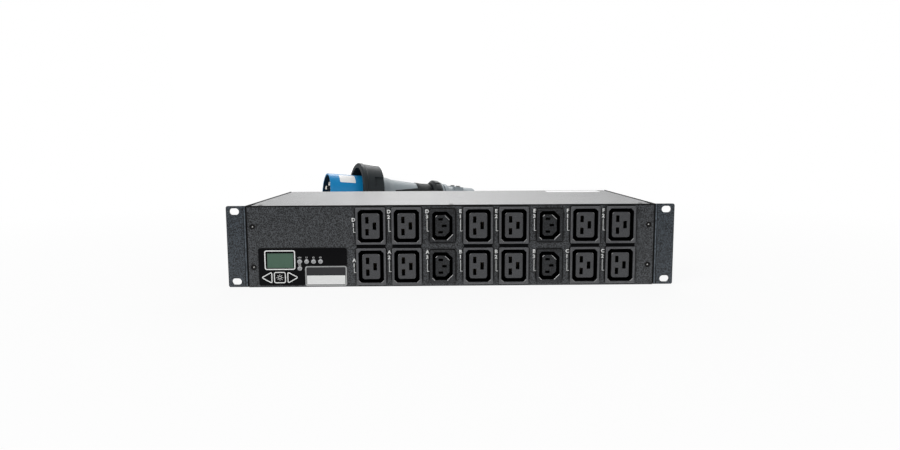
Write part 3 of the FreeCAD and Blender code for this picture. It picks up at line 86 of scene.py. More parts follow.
# Turns of the coil as (degrees, radius, height) in millimetres: one turn on top, then two on the floor.
COIL_TURNS = [(0, 130, 32.5), (200, 130, 32.5), (220, 130, 36.0), (250, 130, 36.0), (270, 130, 33.5),
              (300, 119, 25.0), (340, 118, 13.5), (360, 118, 12.5), (540, 118, 12.5), (640, 142, 12.5),
              (900, 142, 12.5), (1000, 164, 12.5)]
LEAD = [(170, 118, 36), (170, 151, 36), (170, 201, 34), (170, 245, 33)]
TAIL = [(122, 137.2, 12), (175, 184.2, 11.5), (205, 249.2, 11.5), (211, 305.2, 11.5), (244, 399.2, 12),
        (244, 464.2, 13.5), (215, 518.7, 18), (164, 553.2, 25), (103, 560.15, 32.87), (37, 533.95, 39.5)]


def coil_at(angle):
    """Radius and height of the coil at an angle, straight between the listed turns."""
    for (a0, r0, h0), (a1, r1, h1) in zip(COIL_TURNS, COIL_TURNS[1:]):
        if a0 <= angle <= a1:
            share = (angle - a0) / (a1 - a0)
            return r0 + (r1 - r0) * share, h0 + (h1 - h0) * share


def coil_points():
    """Control points along all the turns, evenly spaced by angle."""
    middle_x, middle_y = COIL_MIDDLE
    points = []
    for angle in range(COIL_STEP // 2, COIL_TURNS[-1][0] + 1, COIL_STEP):
        radius, height = coil_at(angle)
        turn = math.radians(angle)
        points.append((middle_x + radius * math.cos(turn), middle_y + radius * math.sin(turn), height))
    return points


route = LEAD + coil_points() + TAIL
line = bpy.data.curves.new("supply_cord", "CURVE")
line.dimensions = "3D"
line.bevel_depth = 1.0
line.bevel_resolution = CORD_ROUNDS
line.use_fill_caps = True
spline = line.splines.new("NURBS")
spline.points.add(len(route) - 1)
for point, place in zip(spline.points, route):
    point.co = (*(value * MM for value in place), 1.0)
    point.radius = CORD_DIAMETER / 2
spline.order_u = 3
spline.use_endpoint_u = True
spline.resolution_u = CORD_FINENESS
cord = bpy.data.objects.new("supply_cord", line)
scene.collection.objects.link(cord)
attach(cord, ROOT)
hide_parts("cord_lead", "cord_coil", "cord_tail")
print("cord of", len(route), "points")

# %% [markdown]
# ## Studio
# The unit stands on a pale floor in front of a white background. The floor is one large face. The world is a
# studio: a white backdrop behind the object and overhead, and a dim room on the camera's side, so that a face
# turned to the camera reflects little and a face seen at a low angle mirrors the backdrop. Dark flags to the
# left and the right dim what is mirrored at the sides. The camera itself always sees white, and matt faces get
# one even light.

# %% Floor and world
FLOOR_SIZE = 6.0
FLOOR_COLOUR = (0.86, 0.86, 0.86, 1.0)
WORLD_LIGHT = 0.46
BACKDROP_WAY = (0.0, 0.8, 0.6)
ROOM_SPREAD, ROOM_DIM, ROOM_BRIGHT = (-0.4, 0.4), 0.08, 1.2
FLAG_MIDDLE, FLAG_SPREAD, FLAG_DIM = -0.15, (0.12, 0.52), 0.26
# Spacing of the nodes in the editor: along, down, and the rows before it starts again.
NODE_ALONG, NODE_DOWN, NODE_ROWS = 220, -260, 4


def add_nodes(tree, *kinds):
    """New nodes of the given kinds in a node tree, in a row."""
    made = []
    for index, kind in enumerate(kinds):
        node = tree.nodes.new(kind)
        node.location = (NODE_ALONG * index, NODE_DOWN * (len(tree.nodes) % NODE_ROWS))
        made.append(node)
    return made if len(made) > 1 else made[0]


def seen_ray(tree):
    """A mask that is 1 for camera, glossy and transmission rays."""
    path, first, second = add_nodes(tree, "ShaderNodeLightPath", "ShaderNodeMath", "ShaderNodeMath")
    first.operation = second.operation = "MAXIMUM"
    tree.links.new(path.outputs["Is Camera Ray"], first.inputs[0])
    tree.links.new(path.outputs["Is Glossy Ray"], first.inputs[1])
    tree.links.new(first.outputs[0], second.inputs[0])
    tree.links.new(path.outputs["Is Transmission Ray"], second.inputs[1])
    return second.outputs[0]


scene.view_settings.view_transform = "Standard"
world = bpy.data.worlds.new("studio")
world.use_nodes = True
tree = world.node_tree
background = tree.nodes["Background"]
path, sight, toward, room, mirror, seen, split, offset, aside, flags, shaded = add_nodes(
    tree, "ShaderNodeLightPath", "ShaderNodeTexCoord", "ShaderNodeVectorMath", "ShaderNodeMapRange",
    "ShaderNodeMapRange", "ShaderNodeMath", "ShaderNodeSeparateXYZ", "ShaderNodeMath", "ShaderNodeMath",
    "ShaderNodeMapRange", "ShaderNodeMath")
toward.operation = "DOT_PRODUCT"
toward.inputs[1].default_value = BACKDROP_WAY
tree.links.new(sight.outputs["Generated"], toward.inputs[0])
tree.links.new(toward.outputs["Value"], room.inputs["Value"])
tree.links.new(sight.outputs["Generated"], split.inputs[0])
offset.operation, aside.operation, shaded.operation = "SUBTRACT", "ABSOLUTE", "MULTIPLY"
offset.inputs[1].default_value = FLAG_MIDDLE
tree.links.new(split.outputs["X"], offset.inputs[0])
tree.links.new(offset.outputs[0], aside.inputs[0])
tree.links.new(aside.outputs[0], flags.inputs["Value"])
RANGE_SOCKETS = ("From Min", "From Max", "To Min", "To Max")
ranges = ((room, (*ROOM_SPREAD, ROOM_DIM, ROOM_BRIGHT)), (flags, (*FLAG_SPREAD, 1.0, FLAG_DIM)))
for node, values in ranges:
    for socket, value in zip(RANGE_SOCKETS, values):
        node.inputs[socket].default_value = value
tree.links.new(room.outputs[0], shaded.inputs[0])
tree.links.new(flags.outputs[0], shaded.inputs[1])
tree.links.new(seen_ray(tree), mirror.inputs["Value"])
mirror.inputs["To Min"].default_value = WORLD_LIGHT
tree.links.new(shaded.outputs[0], mirror.inputs["To Max"])
seen.operation = "MAXIMUM"
tree.links.new(mirror.outputs[0], seen.inputs[0])
tree.links.new(path.outputs["Is Camera Ray"], seen.inputs[1])
tree.links.new(seen.outputs[0], background.inputs["Strength"])
background.inputs["Color"].default_value = (1.0, 1.0, 1.0, 1.0)
scene.world = world

floor_bm = bmesh.new()
bmesh.ops.create_grid(floor_bm, x_segments=1, y_segments=1, size=FLOOR_SIZE / 2)
floor_mesh = bpy.data.meshes.new("studio_floor")
floor_bm.to_mesh(floor_mesh)
floor_bm.free()
floor = bpy.data.objects.new("studio_floor", floor_mesh)
scene.collection.objects.link(floor)
print("world light", WORLD_LIGHT)

# %% [markdown]
# ## Lamps
# Three wide area lamps make the soft light: a large one high on the left, a fill on the right, and one from
# behind that runs a rim along the top edges. A wide lamp gives soft shadows, as a studio's soft boxes do. Each
# one is turned by a track quaternion, so the table below gives only its place and the point that it faces.

# %% Lamps
# Each lamp: name, place, point it faces, width, height, watts.
LAMPS = [("key_lamp", (-1.5, -1.9, 1.7), (0.0, 0.0, 0.05), 1.8, 1.3, 32.0),
         ("fill_lamp", (1.9, -1.5, 1.1), (0.0, 0.0, 0.05), 1.4, 1.4, 8.0),
         ("rim_lamp", (0.5, 2.2, 1.6), (0.0, 0.3, 0.05), 2.2, 1.0, 26.0)]
for name, place, target, width, height, watts in LAMPS:
    lamp = bpy.data.lights.new(name, "AREA")
    lamp.shape = "RECTANGLE"
    lamp.size = width
    lamp.size_y = height
    lamp.energy = watts
    lamp_object = bpy.data.objects.new(name, lamp)
    lamp_object.location = place
    lamp_object.rotation_euler = (Vector(target) - Vector(place)).to_track_quat("-Z", "Y").to_euler()
    scene.collection.objects.link(lamp_object)
print(len(LAMPS), "lamps")

# %% [markdown]
# ## Effects that several finishes share
# Paint and moulded plastic are never one flat colour. Four node groups hold what they have in common, so that
# each finish only gives its own numbers: a fine grain for bump and speckle, a slow smudge for gloss, an edge
# mask with a rounded normal for corners that catch the light, and dust that settles on upward faces. The edge
# mask also paints edges paler, partly as wear and partly as painted highlight. The groups read Object
# coordinates in metres, so a scale of 1000 is a pattern of about a millimetre.

# %% Node groups
FLOAT, VECTOR = "NodeSocketFloat", "NodeSocketVector"


def new_group(name, inputs, outputs):
    """An empty shader group with value inputs and typed outputs: its tree, input node and output node."""
    group = bpy.data.node_groups.new(name, "ShaderNodeTree")
    for socket, value in inputs:
        group.interface.new_socket(socket, in_out="INPUT", socket_type=FLOAT).default_value = value
    for socket, kind in outputs:
        group.interface.new_socket(socket, in_out="OUTPUT", socket_type=kind)
    enter, leave = add_nodes(group, "NodeGroupInput", "NodeGroupOutput")
    return group, enter, leave


def math_node(tree, operation, first, second, clamp=False):
    """A Math node whose two inputs are sockets or numbers; gives back its output."""
    node = add_nodes(tree, "ShaderNodeMath")
    node.operation = operation
    node.use_clamp = clamp
    for slot, value in zip(node.inputs, (first, second)):
        if isinstance(value, bpy.types.NodeSocket):
            tree.links.new(value, slot)
        else:
            slot.default_value = value
    return node.outputs[0]


def noise_node(tree, place, scale, detail=2.0, roughness=0.5):
    """A noise texture on the given coordinates; scale is a socket or a number."""
    node = add_nodes(tree, "ShaderNodeTexNoise")
    tree.links.new(place, node.inputs["Vector"])
    if isinstance(scale, bpy.types.NodeSocket):
        tree.links.new(scale, node.inputs["Scale"])
    else:
        node.inputs["Scale"].default_value = scale
    node.inputs["Detail"].default_value = detail
    node.inputs["Roughness"].default_value = roughness
    return node.outputs["Fac"]


def object_place(tree):
    """A point in the frame's own metres."""
    return add_nodes(tree, "ShaderNodeTexCoord").outputs["Object"]


PEBBLE_SHARE = 0.6
MOTTLE_COARSE = 0.45
SMUDGE_START, SMUDGE_GAIN = 0.3, 2.2
RUB_SCALE, SPECK_SCALE = 220.0, 140.0
BEVEL_SAMPLES = 6

grain_group, enter, leave = new_group("fine_grain", [("Scale", 1000.0), ("Contrast", 2.0)],
                                      [("Height", FLOAT), ("Speckle", FLOAT)])
place = object_place(grain_group)
cells = add_nodes(grain_group, "ShaderNodeTexVoronoi")
cells.feature = "SMOOTH_F1"
grain_group.links.new(place, cells.inputs["Vector"])
grain_group.links.new(enter.outputs["Scale"], cells.inputs["Scale"])
fine = noise_node(grain_group, place, enter.outputs["Scale"], 3.0)
pits = math_node(grain_group, "MULTIPLY", cells.outputs["Distance"], PEBBLE_SHARE)
pebble = math_node(grain_group, "SUBTRACT", fine, pits)
grain_group.links.new(pebble, leave.inputs["Height"])
coarse = math_node(grain_group, "MULTIPLY", enter.outputs["Scale"], MOTTLE_COARSE)
mottle = noise_node(grain_group, place, coarse, 3.0, 0.7)
centred = math_node(grain_group, "SUBTRACT", mottle, 0.5)
spread = math_node(grain_group, "MULTIPLY", centred, enter.outputs["Contrast"])
grain_group.links.new(math_node(grain_group, "ADD", spread, 0.5, True), leave.inputs["Speckle"])

smudge_group, enter, leave = new_group("hand_smudge", [("Scale", 30.0)], [("Gloss", FLOAT)])
cloud = noise_node(smudge_group, object_place(smudge_group), enter.outputs["Scale"], 5.0, 0.6)
lowered = math_node(smudge_group, "SUBTRACT", cloud, SMUDGE_START)
stretched = math_node(smudge_group, "MULTIPLY", lowered, SMUDGE_GAIN, True)
smudge_group.links.new(stretched, leave.inputs["Gloss"])

# The mask makes edges paler: partly wear, partly a painted highlight where edges would catch the light.
edge_group, enter, leave = new_group("rubbed_and_highlit_edge", [("Radius", 0.0005), ("Gain", 2.0)],
                                     [("Mask", FLOAT), ("Rounded", VECTOR)])
round_off, surface, match = add_nodes(edge_group, "ShaderNodeBevel", "ShaderNodeNewGeometry",
                                      "ShaderNodeVectorMath")
round_off.samples = BEVEL_SAMPLES
match.operation = "DOT_PRODUCT"
edge_group.links.new(enter.outputs["Radius"], round_off.inputs["Radius"])
edge_group.links.new(round_off.outputs[0], match.inputs[0])
edge_group.links.new(surface.outputs["Normal"], match.inputs[1])
bend = math_node(edge_group, "SUBTRACT", 1.0, match.outputs["Value"])
patchy = noise_node(edge_group, object_place(edge_group), RUB_SCALE, 3.0)
gained = math_node(edge_group, "MULTIPLY", bend, enter.outputs["Gain"])
rub = math_node(edge_group, "MULTIPLY", gained, patchy, True)
edge_group.links.new(rub, leave.inputs["Mask"])
edge_group.links.new(round_off.outputs[0], leave.inputs["Rounded"])

dust_group, enter, leave = new_group("settled_dust", [("Amount", 0.1)], [("Mask", FLOAT)])
facing, split = add_nodes(dust_group, "ShaderNodeNewGeometry", "ShaderNodeSeparateXYZ")
dust_group.links.new(facing.outputs["Normal"], split.inputs[0])
specks = noise_node(dust_group, object_place(dust_group), SPECK_SCALE, 6.0, 0.7)
upward = math_node(dust_group, "MULTIPLY", split.outputs["Z"], specks, True)
settled = math_node(dust_group, "MULTIPLY", upward, enter.outputs["Amount"], True)
dust_group.links.new(settled, leave.inputs["Mask"])
print("groups", [group.name for group in (grain_group, smudge_group, edge_group, dust_group)])

# %% [markdown]
# ## A finish from its numbers
# One function lays the groups together for paint and plastic: two close colours mixed by the speckle, a paler
# one on edges for wear and painted highlight, dust on top, roughness that drifts with the smudges, and a bump
# of the grain over the rounded normal. A finish may also name a mask of painted shade for its hollows and
# corners, where it turns nearly black and dull. A number that holds all over, such as the specular level, goes
# straight on the shader's socket.

# %% Finish builder
DUST_COLOUR = (0.36, 0.35, 0.33)
# The share of its colour that a finish keeps in painted shade.
HOLLOW_SHADE = 0.06


def place_group(tree, group, **values):
    """A shared group in a material, with values for its inputs."""
    node = add_nodes(tree, "ShaderNodeGroup")
    node.node_tree = group
    for socket, value in values.items():
        node.inputs[socket].default_value = value
    return node


def mix_colour(tree, factor, first, second):
    """A colour Mix node; each colour is a socket or a triple, and the factor a socket or a number."""
    node = add_nodes(tree, "ShaderNodeMix")
    node.data_type = "RGBA"
    for socket, value in (("Factor_Float", factor), ("A_Color", first), ("B_Color", second)):
        target = next(item for item in node.inputs if item.identifier == socket)
        if isinstance(value, bpy.types.NodeSocket):
            tree.links.new(value, target)
        else:
            target.default_value = (*value, 1.0) if isinstance(value, tuple) else value
    return next(item for item in node.outputs if item.identifier == "Result_Color")


def spread_value(tree, value, low, high, start=0.0, end=1.0):
    """Maps a socket that runs from start to end to another range."""
    node = add_nodes(tree, "ShaderNodeMapRange")
    tree.links.new(value, node.inputs["Value"])
    for socket, limit in zip(RANGE_SOCKETS, (start, end, low, high)):
        node.inputs[socket].default_value = limit
    return node.outputs[0]


def bump_node(tree, height, distance, normal=None):
    """A bump of the given height in metres, over another normal where there is one."""
    node = add_nodes(tree, "ShaderNodeBump")
    node.inputs["Distance"].default_value = distance
    tree.links.new(height, node.inputs["Height"])
    if normal is not None:
        tree.links.new(normal, node.inputs["Normal"])
    return node.outputs[0]


def new_material(name):
    """A material, its node tree and its shader."""
    material = bpy.data.materials.new(name)
    material.use_nodes = True
    return material, material.node_tree, material.node_tree.nodes["Principled BSDF"]


def shade(colour, factor):
    """A colour made darker or paler."""
    return tuple(min(1.0, channel * factor) for channel in colour)


def moulded(name, colour, roughness, grain_mm=0.8, depth_mm=0.02, speckle=0.25, edge_mm=0.5, lift=1.6,
            dust=0.06, contrast=2.0, sheen=0.5, painted_shade=None, drift=0.06):
    """Paint or plastic with grain, smudged gloss, paler edges and dust, near-black painted shade by mask."""
    material, tree, shader = new_material(name)
    grain = place_group(tree, grain_group, Scale=1.0 / (grain_mm * MM), Contrast=contrast)
    smudge = place_group(tree, smudge_group)
    edge = place_group(tree, edge_group, Radius=edge_mm * MM)
    dusty = place_group(tree, dust_group, Amount=dust)
    base = mix_colour(tree, grain.outputs["Speckle"], shade(colour, 1 - speckle), shade(colour, 1 + speckle))
    worn = mix_colour(tree, edge.outputs["Mask"], base, shade(colour, lift))
    dulled = mix_colour(tree, dusty.outputs["Mask"], worn, DUST_COLOUR)
    shader.inputs["Specular IOR Level"].default_value = sheen
    # Painted shade: where the mask is 1 the colour turns nearly black and the gloss dull.
    if painted_shade:
        dark = painted_shade(tree)
        dulled = mix_colour(tree, dark, dulled, shade(colour, HOLLOW_SHADE))
    tree.links.new(dulled, shader.inputs["Base Color"])
    gloss = spread_value(tree, smudge.outputs["Gloss"], roughness - drift, roughness + drift)
    if painted_shade:
        gloss = math_node(tree, "MAXIMUM", gloss, dark)
    tree.links.new(gloss, shader.inputs["Roughness"])
    bump = bump_node(tree, grain.outputs["Height"], depth_mm * MM, edge.outputs["Rounded"])
    tree.links.new(bump, shader.inputs["Normal"])
    return material


dressed = []


def dress(material, *names):
    """Gives a finish to solids of the frame."""
    dressed.extend(names)
    for name in names:
        nodes[name].data.materials.clear()
        nodes[name].data.materials.append(material)


print("finish builder ready")

# %% [markdown]
# ## Floor finish
# The floor is matt and pale. For rays that reach the eye it is lifted most of the way to pure white, so it
# runs into the background without an edge and still keeps the soft shadow under the case. Away from the object
# the lift grows to one, by the distance from the middle. In reflections the white fades out in front of the
# case, where the dim room starts, so the panel is paler near its foot.

# %% Floor finish
FLOOR_LIFT, FLOOR_MATT, FLOOR_SHEEN = 0.9, 0.9, 0.1
MIRROR_EDGE, MIRROR_FULL = -0.75, -0.25
FADE_START, FADE_END = 0.35, 1.1
material, tree, shader = new_material("pale_floor")
shader.inputs["Base Color"].default_value = FLOOR_COLOUR
shader.inputs["Roughness"].default_value = FLOOR_MATT
shader.inputs["Specular IOR Level"].default_value = FLOOR_SHEEN
reach = add_nodes(tree, "ShaderNodeVectorMath")
reach.operation = "LENGTH"
tree.links.new(object_place(tree), reach.inputs[0])
fade = spread_value(tree, reach.outputs["Value"], FLOOR_LIFT, 1.0, FADE_START, FADE_END)
glow, blend, split, path = add_nodes(tree, "ShaderNodeEmission", "ShaderNodeMixShader",
                                     "ShaderNodeSeparateXYZ", "ShaderNodeLightPath")
tree.links.new(object_place(tree), split.inputs[0])
mirrored = spread_value(tree, split.outputs["Y"], ROOM_DIM, 1.0, MIRROR_EDGE, MIRROR_FULL)
tree.links.new(math_node(tree, "MAXIMUM", path.outputs["Is Camera Ray"], mirrored), glow.inputs["Strength"])
tree.links.new(math_node(tree, "MULTIPLY", seen_ray(tree), fade), blend.inputs["Fac"])
tree.links.new(shader.outputs[0], blend.inputs[1])
tree.links.new(glow.outputs[0], blend.inputs[2])
tree.links.new(blend.outputs[0], tree.nodes["Material Output"].inputs["Surface"])
floor.data.materials.append(material)
print("floor lifted by", FLOOR_LIFT)

# %% [markdown]
# ## Painted steel
# Case, front panel and ears wear a dark powder coat. It is baked on as a fine pebble texture: close up it is a
# speckle of near-blacks and greys, and along the folded edges it turns a little paler, as wear and as painted
# highlight. Seen at a low angle, the cover mirrors the bright room, which the shader does by itself once its
# gloss is right. The panel has dark corners beside the outlets, which the lamps alone don't give. An Ambient
# Occlusion node finds them, and they are painted into the finish as painted shade. Dark bands beside the ears
# and under the cover, and the two creases of each ear's fold, are painted shade as well, masks by place.

# %% Painted steel
PANEL_GREY = (0.040, 0.043, 0.047)
EAR_GREY = (0.034, 0.042, 0.051)
CASE_GREY = (0.034, 0.038, 0.044)
# Places of the bands of painted shade in millimetres: heights on the panel, and distances from its middle.
UNDER_COVER, FOOT_LEVEL, FOOT_BLUR = 87.8, 8.0, 5.0
BESIDE_EAR, INNER_CREASE, OUTER_CREASE = (219.1, 230.0), (218.0, 220.8), (222.5, 223.0)
# Reach, range and samples of the painted shade in the corners beside the outlets.
CORNER_REACH, CORNER_SPREAD, CORNER_SAMPLES = 4.5, (0.72, 0.92), 12


def above_level(tree, level_mm, blur_mm=0.5):
    """A mask that is 1 above a height."""
    split = add_nodes(tree, "ShaderNodeSeparateXYZ")
    tree.links.new(object_place(tree), split.inputs[0])
    return spread_value(tree, split.outputs["Z"], 0.0, 1.0, (level_mm - blur_mm) * MM, level_mm * MM)


def aside_band(tree, start_mm, end_mm, blur_mm=0.3):
    """A mask that is 1 in an upright band on both sides, between two distances from the middle."""
    split = add_nodes(tree, "ShaderNodeSeparateXYZ")
    tree.links.new(object_place(tree), split.inputs[0])
    aside = math_node(tree, "ABSOLUTE", split.outputs["X"], 0.0)
    begun = spread_value(tree, aside, 0.0, 1.0, (start_mm - blur_mm) * MM, start_mm * MM)
    ended = spread_value(tree, aside, 1.0, 0.0, end_mm * MM, (end_mm + blur_mm) * MM)
    return math_node(tree, "MULTIPLY", begun, ended)


def corner_shade(tree):
    """A mask of painted shade, 1 in the corners beside pieces that stand on the panel, except at its foot."""
    corner = add_nodes(tree, "ShaderNodeAmbientOcclusion")
    corner.samples = CORNER_SAMPLES
    corner.inputs["Distance"].default_value = CORNER_REACH * MM
    closed = spread_value(tree, corner.outputs["AO"], 1.0, 0.0, *CORNER_SPREAD)
    return math_node(tree, "MULTIPLY", closed, above_level(tree, FOOT_LEVEL, FOOT_BLUR))


def panel_shade_bands(tree):
    """Where the panel is painted in shade: beside the outlets, under the cover and next to the ears."""
    shade_rims = math_node(tree, "MAXIMUM", above_level(tree, UNDER_COVER), aside_band(tree, *BESIDE_EAR))
    return math_node(tree, "MAXIMUM", shade_rims, corner_shade(tree))


def fold_crease_shade(tree):
    """The two creases of the fold in an ear, darkened as painted shade."""
    return math_node(tree, "MAXIMUM", aside_band(tree, *INNER_CREASE), aside_band(tree, *OUTER_CREASE))


# Panel and ears get painted shade from the masks above.
panel_coat = moulded("panel_powder_coat", PANEL_GREY, 0.38, grain_mm=0.48, depth_mm=0.05, speckle=0.95,
                     contrast=8.5, edge_mm=0.6, lift=1.6, painted_shade=panel_shade_bands)
dress(panel_coat, "front_panel")
dress(moulded("ear_powder_coat", EAR_GREY, 0.38, grain_mm=0.45, depth_mm=0.06, speckle=0.95, contrast=9.0,
              edge_mm=0.6, lift=2.2, painted_shade=fold_crease_shade), "rack_ear_left", "rack_ear_right")
dress(moulded("case_powder_coat", CASE_GREY, 0.29, grain_mm=0.8, depth_mm=0.3, speckle=0.6, contrast=4.0,
              edge_mm=0.6, lift=1.8, dust=0.1, sheen=1.0, drift=0.015), "chassis_tray", "top_cover")
print("powder coat on", dressed)

# %% [markdown]
# ## The plug's own frame
# The plug lies askew behind the case, so its finish and its added pieces are measured in a frame of its own:
# x up, y to the viewer's side, z along the plug from the mouth of its collar. A Mapping node in texture mode
# takes a point of the room back into that frame, and a distance from the z axis tells the inside of the collar
# from its outside. The inside is darkened as painted shade.

# %% Plug frame
PLUG_TIP = Vector((-225.0, 430.25, 65.9)) * MM
PLUG_YAW, PLUG_DIP = math.radians(21.6), math.radians(5.35)
Z_AXIS = Vector((0.0, 0.0, 1.0))
PLUG_AXIS = Vector((math.cos(PLUG_DIP) * math.cos(PLUG_YAW), math.cos(PLUG_DIP) * math.sin(PLUG_YAW),
                    -math.sin(PLUG_DIP)))
PLUG_SIDE = PLUG_AXIS.cross(Z_AXIS).normalized()
PLUG_UP = PLUG_SIDE.cross(PLUG_AXIS)
PLUG_FRAME = Matrix.Translation(PLUG_TIP) @ Matrix((PLUG_UP, PLUG_SIDE, PLUG_AXIS)).transposed().to_4x4()
COLLAR_INSIDE, WALL_BLUR = 32.5, (0.2, 0.8)


def collar_inside_shade(tree):
    """A mask of painted shade that is 1 inside the collar's wall."""
    turn, flatten, reach = add_nodes(tree, "ShaderNodeMapping", "ShaderNodeVectorMath", "ShaderNodeVectorMath")
    turn.vector_type = "TEXTURE"
    turn.inputs["Location"].default_value = PLUG_TIP
    turn.inputs["Rotation"].default_value = PLUG_FRAME.to_euler()
    flatten.operation, reach.operation = "MULTIPLY", "LENGTH"
    flatten.inputs[1].default_value = (1.0, 1.0, 0.0)
    tree.links.new(object_place(tree), turn.inputs["Vector"])
    tree.links.new(turn.outputs[0], flatten.inputs[0])
    tree.links.new(flatten.outputs[0], reach.inputs[0])
    start, end = ((COLLAR_INSIDE + blur) * MM for blur in WALL_BLUR)
    return spread_value(tree, reach.outputs["Value"], 1.0, 0.0, start, end)


print("plug axis", [round(value, 4) for value in PLUG_AXIS])

# %% [markdown]
# ## Moulded plastic
# The large outlets are a fine-grained grey nylon, the small ones a darker plastic with a coarser spark-eroded
# skin. Each kind has four finishes: its face, the rims that slant up to the light, the sunk nose, darker as
# painted shade, and the depths of channel and slots, nearly black as painted shade. The pale rims stand for
# highlights, so they are paint and don't follow the lamps.
# The plug has a blue collar, a dark locking ring and a pale grey body; the gland, keys and breakers are black.
# All of them come from the same builder, and differ in grain, depth and gloss.

# %% Moulded plastic
ROCKERS = [f"rocker_{bank}" for bank in "abcdef"]
KEYS = ["left_key", "select_key", "right_key"]
# Each kind of outlet: colour, grain, speckle, sheen, share of light left in the sunk nose by its painted
# shade, and grey of the rims' painted highlight.
OUTLET_LOOKS = {"large": ((0.065, 0.067, 0.073), 0.5, 0.35, 0.9, 0.72, 0.27),
                "small": ((0.015, 0.0165, 0.019), 0.6, 0.9, 0.5, 0.90, 0.55)}
outlet_finishes = {}
for kind, (grey, grain, speckle, sheen, sunk, rim_highlight) in OUTLET_LOOKS.items():
    skin = {"grain_mm": grain, "depth_mm": 0.04, "speckle": speckle, "edge_mm": 0.45, "lift": 2.4,
            "contrast": 5.0}
    face = moulded(f"{kind}_outlet_nylon", grey, 0.42, sheen=sheen, **skin)
    # The rims' pale grey is a painted highlight.
    highlight_finish = moulded(f"{kind}_outlet_rim_highlight", (rim_highlight, rim_highlight, rim_highlight), 0.35, grain_mm=0.4, depth_mm=0.005, speckle=0.1,
                        edge_mm=0.1, lift=1.0)
    # The nose is a darker copy of the face: painted shade.
    nose = moulded(f"{kind}_outlet_nose_shade", shade(grey, sunk), 0.45, sheen=sheen * sunk, **skin)
    # Channel and slots are nearly black: painted shade.
    depths = moulded(f"{kind}_outlet_depths_shade", shade(grey, HOLLOW_SHADE), 0.7, grain_mm=0.5, depth_mm=0.01,
                     speckle=0.2, edge_mm=0.2, lift=1.0, dust=0.0, sheen=0.03)
    outlet_finishes[kind] = (face, highlight_finish, nose, depths)

dressed.clear()
dress(moulded("key_rubber", (0.002, 0.002, 0.0025), 0.6, grain_mm=0.3, depth_mm=0.01, edge_mm=0.3, dust=0.0,
              sheen=0.1), *KEYS)
dress(moulded("breaker_moulding", (0.016, 0.016, 0.018), 0.45, grain_mm=0.4, depth_mm=0.015), "breaker_cases")
dress(moulded("rocker_moulding", (0.02, 0.02, 0.022), 0.28, grain_mm=0.5, depth_mm=0.006, edge_mm=0.6),
      *ROCKERS)
dress(moulded("gland_nylon", (0.02, 0.02, 0.022), 0.42, grain_mm=0.5, depth_mm=0.012, edge_mm=0.8, lift=2.0),
      "cable_gland", "gland_nut", "gland_locknut")
dress(moulded("sensor_case", (0.03, 0.03, 0.034), 0.5, grain_mm=0.5), "current_sensors")
dress(moulded("terminal_moulding", (0.38, 0.39, 0.40), 0.45, grain_mm=0.5, speckle=0.06, lift=1.2),
      "terminal_block", "busbar_supports")
# Inside its wall the blue collar turns nearly black: painted shade.
dress(moulded("collar_blue_nylon", (0.002, 0.25, 0.57), 0.4, grain_mm=0.6, depth_mm=0.01, speckle=0.07,
              edge_mm=1.0, lift=1.5, dust=0.0, sheen=0.35, painted_shade=collar_inside_shade), "plug_collar")
# The ring's strong edge lift is a painted highlight on its rims.
dress(moulded("ring_dark_nylon", (0.017, 0.023, 0.026), 0.5, grain_mm=0.6, depth_mm=0.02, speckle=0.16,
              edge_mm=1.2, lift=4.5, sheen=0.25), "plug_ring")
dress(moulded("plug_grey_nylon", (0.30, 0.345, 0.37), 0.5, grain_mm=0.6, depth_mm=0.015, speckle=0.06,
              edge_mm=1.0, lift=1.3), "plug_body", "plug_clamp")
dress(moulded("plug_nut_nylon", (0.017, 0.021, 0.023), 0.5, grain_mm=0.6, depth_mm=0.02, edge_mm=1.0, lift=2.4,
              sheen=0.3), "plug_gland_nut")
print("plastic on", len(dressed), "solids")

# %% [markdown]
# ## Metal
# Screws, pins, contacts, bars and the port shield are metal. A metal's colour is its reflection, so the shader
# is fully metallic, and what makes it real is the direction of its scratches: noise squeezed along one axis
# gives the brushed lines, and the same lines drift the roughness.

# %% Metal
METAL_EDGE, METAL_SMUDGE, METAL_LIFT = 0.4, 90.0, 1.2
SCRATCH_DRIFT = (-0.08, 0.12)


def brushed(name, colour, roughness, squeeze=(1.0, 1.0, 0.05), scale=1800.0, depth_mm=0.004, stain=0.12):
    """Bare or plated metal with fine scratches across the squeezed axis and a faint stain."""
    material, tree, shader = new_material(name)
    turn = add_nodes(tree, "ShaderNodeMapping")
    tree.links.new(object_place(tree), turn.inputs["Vector"])
    turn.inputs["Scale"].default_value = squeeze
    lines = noise_node(tree, turn.outputs[0], scale, 4.0, 0.65)
    edge = place_group(tree, edge_group, Radius=METAL_EDGE * MM)
    smudge = place_group(tree, smudge_group, Scale=METAL_SMUDGE)
    base = mix_colour(tree, smudge.outputs["Gloss"], shade(colour, 1 - stain), colour)
    worn = mix_colour(tree, edge.outputs["Mask"], base, shade(colour, METAL_LIFT))
    tree.links.new(worn, shader.inputs["Base Color"])
    drifted = spread_value(tree, lines, *(roughness + drift for drift in SCRATCH_DRIFT))
    tree.links.new(drifted, shader.inputs["Roughness"])
    tree.links.new(bump_node(tree, lines, depth_mm * MM, edge.outputs["Rounded"]), shader.inputs["Normal"])
    shader.inputs["Metallic"].default_value = 1.0
    return material


dressed.clear()
dress(brushed("black_zinc", (0.03, 0.03, 0.032), 0.3, squeeze=(1.0, 1.0, 1.0), scale=900.0), "ear_screws")
dress(brushed("plated_steel", (0.55, 0.55, 0.54), 0.32), "network_module", "board_spacers", "plug_clamp_screws")
dress(brushed("nickel_brass", (0.78, 0.76, 0.70), 0.22), "plug_pins")
